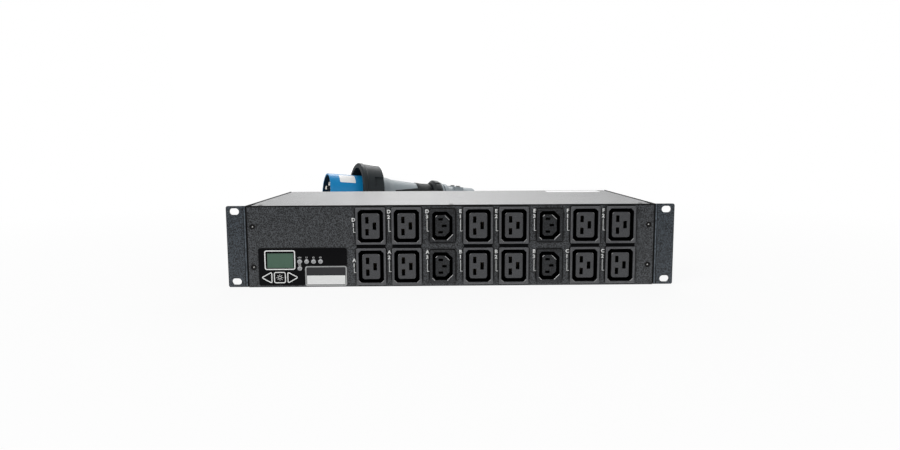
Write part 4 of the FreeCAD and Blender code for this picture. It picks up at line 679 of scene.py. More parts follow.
# The contacts' brass is darkened to stand for the shade deep in the slots: painted shade.
dress(brushed("slot_shaded_brass", (0.10, 0.075, 0.04), 0.4), "outlet_contacts")
dress(brushed("bare_copper", (0.72, 0.34, 0.20), 0.34, squeeze=(0.05, 1.0, 1.0)), "busbars")
print("metal on", dressed)

# %% [markdown]
# ## Display, lights, boards and cord
# The overlay is a thin gloss film. The display behind its window is a grey-green liquid crystal with a faint
# grid of cells; the lights are clear domes. Inside, the boards wear solder mask with a maze of copper under
# it. The cord is dull rubber. Each finish has a function of its own, because they share little.

# %% Special finishes
def film_black():
    """Gloss film: nearly black, with slow smudges in its shine."""
    material, tree, shader = new_material("overlay_film")
    smudge = place_group(tree, smudge_group, Scale=60.0)
    grain = place_group(tree, grain_group, Scale=2500.0, Contrast=1.5)
    edge = place_group(tree, edge_group, Radius=0.3 * MM)
    tint = mix_colour(tree, grain.outputs["Speckle"], (0.001, 0.001, 0.0015), (0.002, 0.002, 0.003))
    tree.links.new(tint, shader.inputs["Base Color"])
    tree.links.new(spread_value(tree, smudge.outputs["Gloss"], 0.26, 0.38), shader.inputs["Roughness"])
    tree.links.new(bump_node(tree, grain.outputs["Height"], 0.003 * MM, edge.outputs["Rounded"]),
                   shader.inputs["Normal"])
    shader.inputs["Specular IOR Level"].default_value = 0.1
    return material


def crystal_screen():
    """Grey-green display with a fine grid of cells and a soft cloud."""
    material, tree, shader = new_material("crystal_screen")
    cells, turn = add_nodes(tree, "ShaderNodeTexBrick", "ShaderNodeMapping")
    turn.inputs["Rotation"].default_value = (math.pi / 2, 0.0, 0.0)
    tree.links.new(object_place(tree), turn.inputs["Vector"])
    tree.links.new(turn.outputs[0], cells.inputs["Vector"])
    cells.offset = 0.0
    for socket, value in (("Scale", 1000.0), ("Brick Width", 0.5), ("Row Height", 0.5), ("Mortar Size", 0.04),
                          ("Mortar Smooth", 0.6), ("Color1", (0.080, 0.148, 0.105, 1.0)),
                          ("Color2", (0.076, 0.142, 0.100, 1.0)), ("Mortar", (0.063, 0.124, 0.085, 1.0))):
        cells.inputs[socket].default_value = value
    cloud = noise_node(tree, object_place(tree), 90.0, 3.0)
    clouded = mix_colour(tree, math_node(tree, "MULTIPLY", cloud, 0.35), cells.outputs["Color"],
                         (0.064, 0.12, 0.085))
    tree.links.new(clouded, shader.inputs["Base Color"])
    smudge = place_group(tree, smudge_group, Scale=70.0)
    tree.links.new(spread_value(tree, smudge.outputs["Gloss"], 0.3, 0.42), shader.inputs["Roughness"])
    shader.inputs["Specular IOR Level"].default_value = 0.3
    return material


def solder_mask():
    """Green board with paler tracks."""
    material, tree, shader = new_material("solder_mask")
    tracks = add_nodes(tree, "ShaderNodeTexVoronoi")
    tracks.feature = "DISTANCE_TO_EDGE"
    tracks.inputs["Scale"].default_value = 260.0
    tree.links.new(object_place(tree), tracks.inputs["Vector"])
    thin = math_node(tree, "LESS_THAN", tracks.outputs["Distance"], 0.07)
    green = mix_colour(tree, thin, (0.012, 0.10, 0.04), (0.03, 0.19, 0.08))
    tree.links.new(green, shader.inputs["Base Color"])
    tree.links.new(bump_node(tree, thin, 0.03 * MM), shader.inputs["Normal"])
    shader.inputs["Roughness"].default_value = 0.35
    return material


def clear_dome():
    """Clear light: a dull chip shows through the flat tip; the rounded rim is paler, a painted highlight."""
    material, tree, shader = new_material("light_dome")
    turned, split = add_nodes(tree, "ShaderNodeNewGeometry", "ShaderNodeSeparateXYZ")
    tree.links.new(turned.outputs["Normal"], split.inputs[0])
    # The rim's paleness, chosen by the normal, is a painted highlight.
    rim_highlight = spread_value(tree, split.outputs["Y"], 0.0, 1.0, -0.97, -0.75)
    clear = mix_colour(tree, rim_highlight, (0.30, 0.305, 0.31), (0.66, 0.67, 0.69))
    tree.links.new(clear, shader.inputs["Base Color"])
    smudge = place_group(tree, smudge_group, Scale=400.0)
    tree.links.new(spread_value(tree, smudge.outputs["Gloss"], 0.08, 0.2), shader.inputs["Roughness"])
    return material


dressed.clear()
dress(film_black(), "keypad_overlay")
dress(crystal_screen(), "lcd_module")
dress(solder_mask(), "display_board", "metering_board")
dress(clear_dome(), "status_lights")
cord.data.materials.append(moulded("cord_rubber", (0.016, 0.016, 0.017), 0.58, grain_mm=0.6, depth_mm=0.02,
                                   speckle=0.3, lift=1.0, dust=0.18))
print("finishes of their own on", dressed, "and the cord")

# %% [markdown]
# ## Printed marks
# Marks on the panel are screen printed, so they are only a film of ink. A few helpers make flat pieces: a face
# from its corners, an outline by insetting a rounded face, characters that start as a font curve and become a
# mesh, and a last one that gives the flat mesh its thickness by extruding it and makes it a piece of the unit.

# %% Ink and helpers for flat pieces
FRONT_FACE = -112.75
INK_THICK = 0.06
MERGE_WITHIN = 0.001 * MM
ROUND_STEPS = 6


def flat_face(bm, corners, level):
    """One upright face at a depth, from (x, z) corners in millimetres."""
    return bm.faces.new([bm.verts.new((x * MM, level * MM, z * MM)) for x, z in corners])


def round_corners(bm, radius, steps, corners=None):
    """Rounds the corners of a flat face, all of them or the given ones."""
    bmesh.ops.bevel(bm, geom=corners or bm.verts[:], offset=radius * MM, affect="VERTICES", segments=steps,
                    profile=0.5, material=-1, clamp_overlap=True)


def pour(fresh, bm):
    """Adds one bmesh to another."""
    mesh = bpy.data.meshes.new("pour")
    fresh.to_mesh(mesh)
    fresh.free()
    bm.from_mesh(mesh)
    bpy.data.meshes.remove(mesh)


def add_ring(bm, corners, level, radius, line):
    """A printed outline: a rounded face, inset by the line's width, without its middle."""
    fresh = bmesh.new()
    flat_face(fresh, corners, level)
    round_corners(fresh, radius, ROUND_STEPS)
    middle = fresh.faces[:]
    bmesh.ops.inset_region(fresh, faces=middle, thickness=line * MM, use_boundary=True, use_even_offset=True)
    bmesh.ops.delete(fresh, geom=middle, context="FACES")
    pour(fresh, bm)


def add_letter(bm, text, x, z, height, level, weight=0.04, wide=1.08):
    """Characters as a flat mesh, centred on (x, z), as high as asked and a little widened."""
    curve = bpy.data.curves.new("mark", "FONT")
    curve.body = text
    curve.offset = weight
    curve.resolution_u = 3
    mark = bpy.data.objects.new("mark", curve)
    scene.collection.objects.link(mark)
    mesh = bpy.data.meshes.new_from_object(mark.evaluated_get(bpy.context.evaluated_depsgraph_get()))
    bpy.data.objects.remove(mark)
    bpy.data.curves.remove(curve)
    low = [min(vertex.co[axis] for vertex in mesh.vertices) for axis in (0, 1)]
    top = [max(vertex.co[axis] for vertex in mesh.vertices) for axis in (0, 1)]
    size = height * MM / (top[1] - low[1])
    centre = Matrix.Translation((-(low[0] + top[0]) / 2, -(low[1] + top[1]) / 2, 0.0))
    stand = Matrix.Rotation(math.pi / 2, 4, "X")
    grow = Matrix.Diagonal((size * wide, size, size, 1.0))
    mesh.transform(Matrix.Translation((x * MM, level * MM, z * MM)) @ stand @ grow @ centre)
    bm.from_mesh(mesh)
    bpy.data.meshes.remove(mesh)


def draw_out(bm, faces, way):
    """Extrudes faces along a vector in millimetres; the first faces stay and close the solid."""
    grown = bmesh.ops.extrude_face_region(bm, geom=faces, use_keep_orig=True)["geom"]
    moved = [item for item in grown if isinstance(item, bmesh.types.BMVert)]
    bmesh.ops.translate(bm, verts=moved, vec=way * MM)


def keep(name, bm, material, body=ROOT, thick=INK_THICK, outward=Vector((0, -1, 0))):
    """Makes a bmesh a piece that rides on a body, with a thickness where it is flat."""
    bmesh.ops.remove_doubles(bm, verts=bm.verts[:], dist=MERGE_WITHIN)
    if thick:
        draw_out(bm, bm.faces[:], outward * thick)
        bmesh.ops.recalc_face_normals(bm, faces=bm.faces[:])
    mesh = bpy.data.meshes.new(name)
    bm.to_mesh(mesh)
    bm.free()
    mesh.materials.append(material)
    piece = bpy.data.objects.new(name, mesh)
    scene.collection.objects.link(piece)
    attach(piece, body)
    return piece


INK = {"grain_mm": 0.3, "depth_mm": 0.004, "speckle": 0.08, "edge_mm": 0.03, "lift": 1.0, "dust": 0.0}
white_ink = moulded("white_ink", (0.85, 0.86, 0.85), 0.55, **INK)
grey_ink = moulded("grey_ink", (0.40, 0.41, 0.41), 0.5, **INK)
print("inks", white_ink.name, grey_ink.name)

# %% [markdown]
# ## Outlet marks
# Every outlet has a letter for its bank, a number below it and a thin bracket that leads to the outlet. The
# bracket is a face with six corners. All marks become one thin piece, because they are printed in one pass. The
# first column has less room, so its marks start lower.

# %% Outlet marks
COLUMN_START, COLUMN_PITCH = -86.9, 38.6
TOP_MARKS = ("D1", "D2", "D3", "E1", "E2", "E3", "F1", "F2")
LOW_MARKS = ("A1", "A2", "A3", "B1", "B2", "B3", "C1", "C2")
# Outlets with this number are small ones.
SMALL_DIGIT = "3"
LETTER_HIGH, DIGIT_HIGH, LINE_WIDE = 4.0, 4.2, 0.52
ROW_LEVELS = (66.5, 22.4)
OUTLET_ROWS = tuple(zip(ROW_LEVELS, (TOP_MARKS, LOW_MARKS)))
# Letter, digit, line top and line foot, above the middle of a row.
MARK_RISE, FIRST_RISE = (15.5, 9.8, 6.5, -6.2), (6.9, 1.1, -2.1, -7.0)
LARGE_SHIFT, SMALL_SHIFT, FIRST_SHIFT = -18.9, -16.25, -18.3
DIGIT_SHIFT, BRACKET_SHIFT, BRACKET_LONG = -0.3, -0.5, 2.4

marks = bmesh.new()
for level, names in OUTLET_ROWS:
    for column, name in enumerate(names):
        rises = MARK_RISE if column else FIRST_RISE
        letter_z, digit_z, line_top, line_foot = (level + rise for rise in rises)
        shift = SMALL_SHIFT if name.endswith(SMALL_DIGIT) else LARGE_SHIFT if column else FIRST_SHIFT
        x = COLUMN_START + COLUMN_PITCH * column + shift
        add_letter(marks, name[0], x, letter_z, LETTER_HIGH, FRONT_FACE)
        add_letter(marks, name[1], x + DIGIT_SHIFT, digit_z, DIGIT_HIGH, FRONT_FACE)
        left = x + BRACKET_SHIFT
        right, inner, bar_top = left + BRACKET_LONG, left + LINE_WIDE, line_foot + LINE_WIDE
        flat_face(marks, [(left, line_top), (left, line_foot), (right, line_foot), (right, bar_top),
                          (inner, bar_top), (inner, line_top)], FRONT_FACE)
keep("outlet_marks", marks, white_ink)
print("outlet marks for", len(TOP_MARKS) + len(LOW_MARKS), "outlets")

# %% [markdown]
# ## Display printing
# The film round the display carries a white outline for the window, an outline on each key and a small sun on
# the middle one. The outlines on the keys ride on the keys, so that they go in when a key is pressed. An arrow
# starts as a triangle that is a little too long, because the rounding takes its tip away.

# %% Display printing
FILM_THICK, KEY_RISE = 0.8, 0.4
FILM_FACE = FRONT_FACE - FILM_THICK
KEY_FACE = FILM_FACE - KEY_RISE
# Left, right, low and top of the outline.
SCREEN_RING = (-201.8, -168.75, 19.5, 40.8)
SCREEN_ROUND, SCREEN_LINE = 2.4, 1.15
KEY_SPANS = ((-205.45, -193.85), (-192.15, -179.35), (-177.65, -166.05))
KEY_LOW, KEY_TOP = 4.25, 17.95
KEY_MIDDLE = (KEY_LOW + KEY_TOP) / 2
POINT_LONG, SQUARE_INSET = 0.9, 0.7
KEY_ROUNDS, KEY_LINE = (2.8, 2.3, 2.8), 1.0


def rectangle(left, right, low, top):
    """Corners of an upright rectangle, in order."""
    return [(left, low), (right, low), (right, top), (left, top)]


def key_corners(index):
    """The face of a key: an arrow to the left, a square, or an arrow to the right."""
    left, right = KEY_SPANS[index]
    shapes = ([(right, KEY_LOW), (right, KEY_TOP), (left - POINT_LONG, KEY_MIDDLE)],
              rectangle(left, right, KEY_LOW + SQUARE_INSET, KEY_TOP - SQUARE_INSET),
              [(left, KEY_LOW), (right + POINT_LONG, KEY_MIDDLE), (left, KEY_TOP)])
    return shapes[index]


screen_ring = bmesh.new()
add_ring(screen_ring, rectangle(*SCREEN_RING), FILM_FACE, SCREEN_ROUND, SCREEN_LINE)
keep("screen_outline", screen_ring, white_ink)
for index, key in enumerate(KEYS):
    outline = bmesh.new()
    add_ring(outline, key_corners(index), KEY_FACE, KEY_ROUNDS[index], KEY_LINE)
    keep(f"{key}_outline", outline, white_ink, key)
print("outlines for the screen and", len(KEYS), "keys")

# %% [markdown]
# ## Sun on the middle key
# The middle key carries a small sun: a ring with eight short rays. One ray is drawn, and spin copies it round
# the middle instead of sweeping it, because it is told to duplicate.

# %% Sun on the middle key
SUN_RAYS, SUN_RADIUS, SUN_ROUND, SUN_LINE = 8, 1.8, 0.3, 0.42
RAY_HALF, RAY_START, RAY_END = 0.22, 2.2, 3.5
sun = bmesh.new()
sun_x = sum(KEY_SPANS[1]) / 2
turns = [math.tau * step / SUN_RAYS for step in range(SUN_RAYS)]
disc = [(sun_x + SUN_RADIUS * math.cos(turn), KEY_MIDDLE + SUN_RADIUS * math.sin(turn)) for turn in turns]
add_ring(sun, disc, KEY_FACE, SUN_ROUND, SUN_LINE)
ray = bmesh.new()
stroke = rectangle(sun_x - RAY_HALF, sun_x + RAY_HALF, KEY_MIDDLE + RAY_START, KEY_MIDDLE + RAY_END)
flat_face(ray, stroke, KEY_FACE)
bmesh.ops.spin(ray, geom=ray.faces[:], cent=(sun_x * MM, KEY_FACE * MM, KEY_MIDDLE * MM), axis=(0.0, 1.0, 0.0),
               angle=math.tau * (SUN_RAYS - 1) / SUN_RAYS, steps=SUN_RAYS - 1, use_duplicate=True)
pour(ray, sun)
keep("select_key_sun", sun, white_ink, "select_key")
print("sun with", SUN_RAYS, "rays")

# %% [markdown]
# ## Label plate
# Beside the keys sits a label plate: a film with a grey border, a dark head and a blank white field. The film
# has a thickness one can feel, and border and field are printed on it.

# %% Label plate
# Left, right, low and top of the plate, and where its dark head starts.
PLATE = (-158.6, -113.4, 1.2, 23.4)
HEAD_LOW = 12.9
PLATE_THICK, PLATE_ROUND = 0.3, 2.6
BORDER_INSET, BORDER_ROUND, BORDER_LINE = 0.1, 2.5, 1.3
FIELD_INSET, FIELD_ROUND, FIELD_STEPS = 1.9, 0.5, 3
plate_film = moulded("plate_film", (0.030, 0.030, 0.033), 0.5, grain_mm=0.4, depth_mm=0.004, speckle=0.15,
                     edge_mm=0.1, lift=1.0, dust=0.0, sheen=0.3)
left, right, low, high = PLATE

plate = bmesh.new()
flat_face(plate, rectangle(*PLATE), FRONT_FACE)
round_corners(plate, PLATE_ROUND, ROUND_STEPS)
keep("label_plate", plate, plate_film, thick=PLATE_THICK)
border = bmesh.new()
outer = rectangle(left + BORDER_INSET, right - BORDER_INSET, low + BORDER_INSET, high - BORDER_INSET)
add_ring(border, outer, FRONT_FACE - PLATE_THICK, BORDER_ROUND, BORDER_LINE)
keep("label_border", border, grey_ink)
field = bmesh.new()
blank = rectangle(left + FIELD_INSET, right - FIELD_INSET, low + FIELD_INSET, HEAD_LOW)
flat_face(field, blank, FRONT_FACE - PLATE_THICK)
round_corners(field, FIELD_ROUND, FIELD_STEPS)
keep("label_field", field, white_ink)
print("label plate", PLATE)

# %% [markdown]
# ## Blank stickers
# A white sticker lies near the rear edge of the cover, and another bends round the blue collar. The flat one is
# a face with rounded corners. The bent one is a strip spun about the plug's axis, so that it follows the
# collar exactly. Both stay blank.

# %% Stickers
STICKER_THICK = 0.1
COVER_TOP = 88.9
# Left, right, front and back of the flat sticker; radius, ends and angles of the bent one, from the top (0) to
# the viewer's side (90).
COVER_STICKER, COVER_STICKER_ROUND, COVER_STICKER_STEPS = (133.5, 205.5, 72.5, 99.6), 2.0, 5
COLLAR_STICKER_RADIUS, COLLAR_STICKER_ENDS, COLLAR_STICKER_ANGLES = 35.53, (18.5, 48.2), (15.0, 52.0)
COLLAR_STICKER_ROUND, COLLAR_STICKER_STEPS, COLLAR_STICKER_PARTS = 1.6, 4, 9
label_paper = moulded("sticker_paper", (0.97, 0.97, 0.97), 0.5, grain_mm=0.5, depth_mm=0.004, speckle=0.02,
                      edge_mm=0.05, lift=1.0, dust=0.0)


def spin_strip(profile, start, end, steps):
    """A surface: a profile of (radius, along) in millimetres, spun about the Z axis between two angles."""
    bm = bmesh.new()
    places = [bm.verts.new((radius * MM, 0.0, along * MM)) for radius, along in profile]
    edges = [bm.edges.new(pair) for pair in zip(places, places[1:])]
    first = Matrix.Rotation(math.radians(start), 3, "Z")
    bmesh.ops.rotate(bm, verts=bm.verts[:], cent=(0, 0, 0), matrix=first)
    bmesh.ops.spin(bm, geom=places + edges, cent=(0, 0, 0), axis=Z_AXIS, angle=math.radians(end - start),
                   steps=steps, use_merge=abs(end - start) >= 360)
    return bm


def thicken(piece, thickness):
    """A bent sheet gets its thickness outwards."""
    shell = piece.modifiers.new("thickness", "SOLIDIFY")
    shell.thickness = thickness * MM
    shell.offset = 1.0
    shell.use_rim = True


cover_sticker = bmesh.new()
cover_sticker.faces.new([cover_sticker.verts.new((x * MM, y * MM, COVER_TOP * MM))
                         for x, y in rectangle(*COVER_STICKER)])
round_corners(cover_sticker, COVER_STICKER_ROUND, COVER_STICKER_STEPS)
keep("cover_sticker", cover_sticker, label_paper, thick=STICKER_THICK, outward=Z_AXIS)

collar_line = [(COLLAR_STICKER_RADIUS, along) for along in COLLAR_STICKER_ENDS]
collar_sticker = spin_strip(collar_line, *COLLAR_STICKER_ANGLES, COLLAR_STICKER_PARTS)
sticker_ends = [vertex for vertex in collar_sticker.verts if len(vertex.link_edges) == 2]
round_corners(collar_sticker, COLLAR_STICKER_ROUND, COLLAR_STICKER_STEPS, sticker_ends)
bmesh.ops.recalc_face_normals(collar_sticker, faces=collar_sticker.faces[:])
collar_sticker.transform(PLUG_FRAME)
thicken(keep("collar_sticker", collar_sticker, label_paper, thick=0.0), STICKER_THICK)
print("two blank stickers")

# %% [markdown]
# ## Plug grip
# Behind the locking ring the grey housing has a dark rubber grip: a band all round its waist, with a tongue
# along each side. A sleeve is spun from the housing's own profile, cut by planes where the band and the
# tongues end, and given a thickness.

# %% Plug grip
# Profile of (radius, along). A tongue is this half wide at its measured place, and widens by the slope.
GRIP_PROFILE = [(32.3, 126.0), (30.8, 145.0), (29.6, 165.0), (28.9, 180.0), (28.4, 186.0), (28.4, 205.6)]
GRIP_PARTS, GRIP_THICK, BAND_START = 96, 0.7, 174.0
TONGUE_HALF, TONGUE_PLACE, TONGUE_SLOPE = 15.0, 136.0, 0.13
grip_rubber = moulded("grip_rubber", (0.014, 0.017, 0.019), 0.6, grain_mm=0.5, depth_mm=0.03, speckle=0.25,
                      edge_mm=0.4, lift=2.0, sheen=0.25)


def cut_along(bm, place, normal):
    """Cuts every face along a plane through a place in millimetres."""
    everything = bm.verts[:] + bm.edges[:] + bm.faces[:]
    bmesh.ops.bisect_plane(bm, geom=everything, plane_co=place * MM, plane_no=normal)


def off_the_grip(face):
    """True in front of the band, above or below the tongues."""
    middle = face.calc_center_median() / MM
    limit = TONGUE_HALF + TONGUE_SLOPE * (middle.z - TONGUE_PLACE)
    return middle.z < BAND_START and abs(middle.x) > limit


grip = spin_strip(GRIP_PROFILE, 0.0, 360.0, GRIP_PARTS)
tongue_lean = math.atan(TONGUE_SLOPE)
for way in (1, -1):
    cut_along(grip, Vector((way * TONGUE_HALF, 0, TONGUE_PLACE)),
              Vector((math.cos(tongue_lean), 0, -way * math.sin(tongue_lean))))
cut_along(grip, Z_AXIS * BAND_START, Z_AXIS)
bmesh.ops.delete(grip, geom=[face for face in grip.faces if off_the_grip(face)], context="FACES")
for face in grip.faces:
    face.smooth = True
bmesh.ops.recalc_face_normals(grip, faces=grip.faces[:])
grip.transform(PLUG_FRAME)
plug_grip = keep("plug_grip", grip, grip_rubber, thick=0.0)
thicken(plug_grip, GRIP_THICK)
print("grip of", len(plug_grip.data.polygons), "faces")

# %% [markdown]
# ## Straps round the coil
# The ties of the frame are plain loops round the room that the coil takes. A real strap is woven tape, pulled
# tight over the turns, so each one is made again: rings where the turns pass, the convex hull round them, and
# only the sides of that hull, with a thickness. Two crossed waves draw the weave.

# %% Coil straps
STRAP_ANGLES = (70, 160)
STRAP_WIDE, STRAP_THICK, STRAP_SEGMENTS = 16.0, 1.2, 32
RIB_DEEP = 0.15
END_FACING = 0.9
# The spline runs inside its control points by this share.
TURN_SHARE = math.cos(math.radians(COIL_STEP / 2))


def woven_tape():
    """Black tape of two crossed sets of ribs."""
    material, tree, shader = new_material("woven_tape")
    ribs = []
    for angle in (math.pi / 4, -math.pi / 4):
        turn, wave = add_nodes(tree, "ShaderNodeMapping", "ShaderNodeTexWave")
        turn.inputs["Rotation"].default_value = (angle, angle, 0.0)
        tree.links.new(object_place(tree), turn.inputs["Vector"])
        tree.links.new(turn.outputs[0], wave.inputs["Vector"])
        wave.inputs["Scale"].default_value = 260.0
        wave.inputs["Distortion"].default_value = 0.6
        ribs.append(wave.outputs["Fac"])
    weave = math_node(tree, "MAXIMUM", *ribs)
    black = mix_colour(tree, weave, (0.006, 0.006, 0.007), (0.03, 0.03, 0.032))
    tree.links.new(black, shader.inputs["Base Color"])
    tree.links.new(bump_node(tree, weave, RIB_DEEP * MM), shader.inputs["Normal"])
    shader.inputs["Roughness"].default_value = 0.8
    return material


def add_strap(bm, angle):
    """A band round all turns that pass at an angle of the coil, made along the X axis and turned there."""
    ring = []
    for turn_angle in range(angle, COIL_TURNS[-1][0], 360):
        radius, height = coil_at(turn_angle)
        for side in (-1, 1):
            place = Vector((radius * TURN_SHARE, side * STRAP_WIDE / 2, height)) * MM
            upright = Matrix.Translation(place) @ Matrix.Rotation(math.pi / 2, 4, "X")
            ring += bmesh.ops.create_circle(bm, segments=STRAP_SEGMENTS, radius=CORD_DIAMETER / 2,
                                            matrix=upright)["verts"]
    hull = bmesh.ops.convex_hull(bm, input=ring)["geom"]
    bm.normal_update()
    faces = [item for item in hull if isinstance(item, bmesh.types.BMFace)]
    ends = [face for face in faces if abs(face.normal.y) > END_FACING]
    bmesh.ops.delete(bm, geom=ends, context="FACES_ONLY")
    inner = [vertex for vertex in ring if vertex.is_valid and not vertex.link_faces]
    bmesh.ops.delete(bm, geom=inner, context="VERTS")
    loose = [edge for edge in bm.edges if not edge.link_faces]
    bmesh.ops.delete(bm, geom=loose, context="EDGES")
    centre = Matrix.Translation(Vector((*COIL_MIDDLE, 0.0)) * MM)
    bmesh.ops.transform(bm, matrix=centre @ Matrix.Rotation(math.radians(angle), 4, "Z"),
                        verts=[vertex for vertex in ring if vertex.is_valid])


straps = bmesh.new()
for strap_angle in STRAP_ANGLES:
    add_strap(straps, strap_angle)
bmesh.ops.recalc_face_normals(straps, faces=straps.faces[:])
cord_straps = keep("cord_straps", straps, woven_tape(), thick=0.0)
thicken(cord_straps, STRAP_THICK)
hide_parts("coil_ties")
print(len(STRAP_ANGLES), "straps of", len(cord_straps.data.polygons), "faces")

# %% [markdown]
# ## Outlets
# The outlets come in two kinds, the large IEC C19 and the small C13. The large one's channel has four cut
# corners and its nose four round ones; the small one's corners are cut widely on the earth side. Every rim has
# a fine bevel. An outlet could be cut from a block, but loops of corners give the fine rims directly: bridging
# joins two loops by a wall, and a flat face is filled between them. Each face then gets one of the outlet's
# four finishes, by its depth and by the way it slants.

# %% Outlet shape
OUTLET_FACE = -115.25
# Finishes: the face, the rims' painted highlight, the nose's painted shade and the depths' painted shade.
FACE, HIGHLIT_RIM, SHADED_NOSE, SHADED_DEPTHS = range(4)
RIM, NOSE_RIM, NOSE_SUNK = 0.55, 0.5, 0.8
FLANGE_RIM, FLANGE_THICK, SLOT_CUT = 0.6, 2.5, 0.2
CHANNEL_DEEP, SLOT_DEEP, OUTLET_DEEP = 19.0, 24.0, 27.5
# A rim gets the painted highlight where its normal leans at least this far sideways and up, and still faces
# the viewer.
LEANS, FACES_VIEWER, SUNK_SLACK = 0.3, -0.5, 0.1
# Half sizes, cuts of the left and the right corners, and steps of a corner (one step cuts it straight). A slot
# is given by its middle and its half sizes.
LARGE_SHAPE = {"flange": (16.1, 20.1, 1.4, 1.4, 3), "body": (14.7, 18.5, 1.0, 1.0, 1),
               "channel": (13.6, 17.65, 2.9, 2.9, 1), "nose": (9.7, 13.8, 2.8, 2.8, 4),
               "slots": [(-3.8, 6.5, 1.85, 3.6), (-3.8, -6.5, 1.85, 3.6), (4.2, 0.0, 1.95, 4.05)]}
SMALL_SHAPE = {"flange": (13.9, 17.7, 2.0, 2.0, 3), "body": (12.7, 17.0, 1.0, 1.0, 1),
               "channel": (10.9, 15.3, 2.6, 6.0, 1), "nose": (7.7, 11.5, 2.0, 5.0, 1),
               "slots": [(-2.0, 7.0, 2.5, 1.35), (-2.0, -7.0, 2.5, 1.35), (2.1, 0.0, 2.5, 1.35)]}


def cut_corners(wide, high, left_cut, right_cut, steps, grow=0.0):
    """Corners of a rectangle with cut or rounded corners, given by its half sizes and grown on every side."""
    share = 1.0 if steps > 1 else 2 - math.sqrt(2)
    quarters = ((1, -1, right_cut, -90), (1, 1, right_cut, 0), (-1, 1, left_cut, 90), (-1, -1, left_cut, 180))
    corners = []
    for x_way, z_way, cut, start in quarters:
        radius = cut + share * grow
        for step in range(steps + 1):
            turn = math.radians(start + 90 * step / steps)
            corners.append((x_way * (wide + grow - radius) + radius * math.cos(turn),
                            z_way * (high + grow - radius) + radius * math.sin(turn)))
    return corners


def add_loop(bm, corners, middle, depth):
    """A closed loop of vertices at a depth behind the outlet's face."""
    return [bm.verts.new(((middle[0] + x) * MM, (OUTLET_FACE + depth) * MM, (middle[1] + z) * MM))
            for x, z in corners]


def loop_edges(bm, loop):
    """The edges round a loop, made where there are none yet."""
    return [bm.edges.get(pair) or bm.edges.new(pair) for pair in zip(loop, loop[1:] + loop[:1])]


def add_walls(bm, loops):
    """Walls that join each loop to the next one."""
    for first, second in zip(loops, loops[1:]):
        bmesh.ops.bridge_loops(bm, edges=loop_edges(bm, first) + loop_edges(bm, second))


def fill_between(bm, *loops):
    """A flat face bounded by loops, the first one outside."""
    edges = [edge for loop in loops for edge in loop_edges(bm, loop)]
    bmesh.ops.triangle_fill(bm, edges=edges, use_beauty=True, normal=(0.0, -1.0, 0.0))


def finish_of(face, middle, reach):
    """Which finish a face gets, by its depth and by the way it slants."""
    place = face.calc_center_median() / MM
    deep = place.y - OUTLET_FACE
    if deep > NOSE_SUNK + NOSE_RIM:
        return SHADED_DEPTHS
    if abs(place.x - middle[0]) > reach:
        return FACE
    if abs(face.normal.x) > LEANS and face.normal.y < FACES_VIEWER and face.normal.z > LEANS:
        return HIGHLIT_RIM
    return SHADED_NOSE if deep > NOSE_SUNK - SUNK_SLACK else FACE


def build_outlet(shape, middle):
    """One outlet: flange, body, channel, nose and three slots."""
    bm = bmesh.new()
    rings = {"flange": ((-FLANGE_RIM, 0.0), (0.0, FLANGE_RIM), (0.0, FLANGE_THICK)),
             "body": ((0.0, FLANGE_THICK), (0.0, OUTLET_DEEP)),
             "channel": ((RIM, 0.0), (0.0, RIM), (0.0, CHANNEL_DEEP)),
             "nose": ((0.0, CHANNEL_DEEP), (0.0, NOSE_SUNK + NOSE_RIM), (-NOSE_RIM, NOSE_SUNK))}
    loops = {part: [add_loop(bm, cut_corners(*shape[part], grow), middle, depth) for grow, depth in stations]
             for part, stations in rings.items()}
    slots = []
    for x, z, wide, high in shape["slots"]:
        corners = cut_corners(wide, high, SLOT_CUT, SLOT_CUT, 1)
        place = (middle[0] + x, middle[1] + z)
        slots.append([add_loop(bm, corners, place, depth) for depth in (NOSE_SUNK, SLOT_DEEP)])
    for stack in (*loops.values(), *slots):
        add_walls(bm, stack)
    fill_between(bm, loops["flange"][0], loops["channel"][0])
    fill_between(bm, loops["channel"][-1], loops["nose"][0])
    fill_between(bm, loops["nose"][-1], *(slot[0] for slot in slots))
    fill_between(bm, loops["flange"][-1], loops["body"][0])
    fill_between(bm, loops["body"][-1])
    for slot in slots:
        fill_between(bm, slot[-1])
    bmesh.ops.recalc_face_normals(bm, faces=bm.faces[:])
    for face in bm.faces:
        face.material_index = finish_of(face, middle, shape["channel"][0] + RIM)
    return bm


print("slots of an outlet", len(LARGE_SHAPE["slots"]))

# %% [markdown]
# ## Two rows of outlets
# One loop builds all sixteen, by the same columns, rows and names as the marks. The small flange leaves a
# margin of its opening free, which a thin frame in the panel's coat covers. From one large flange to the one
# below it the gap is in shade, so a thin black strip lies there as painted shadow.

# %% Outlets
# Half width, foot and top of the black strips of painted shadow between large flanges.
SHADOW_STRIP_HALF, SHADOW_STRIP_LOW, SHADOW_STRIP_TOP = 15.4, 42.6, 46.3
MARGIN_HALF_WIDE, MARGIN_HALF_HIGH, MARGIN_ROUND, MARGIN_LINE = 14.45, 19.7, 1.2, 2.6
STRIP_THICK = 0.12

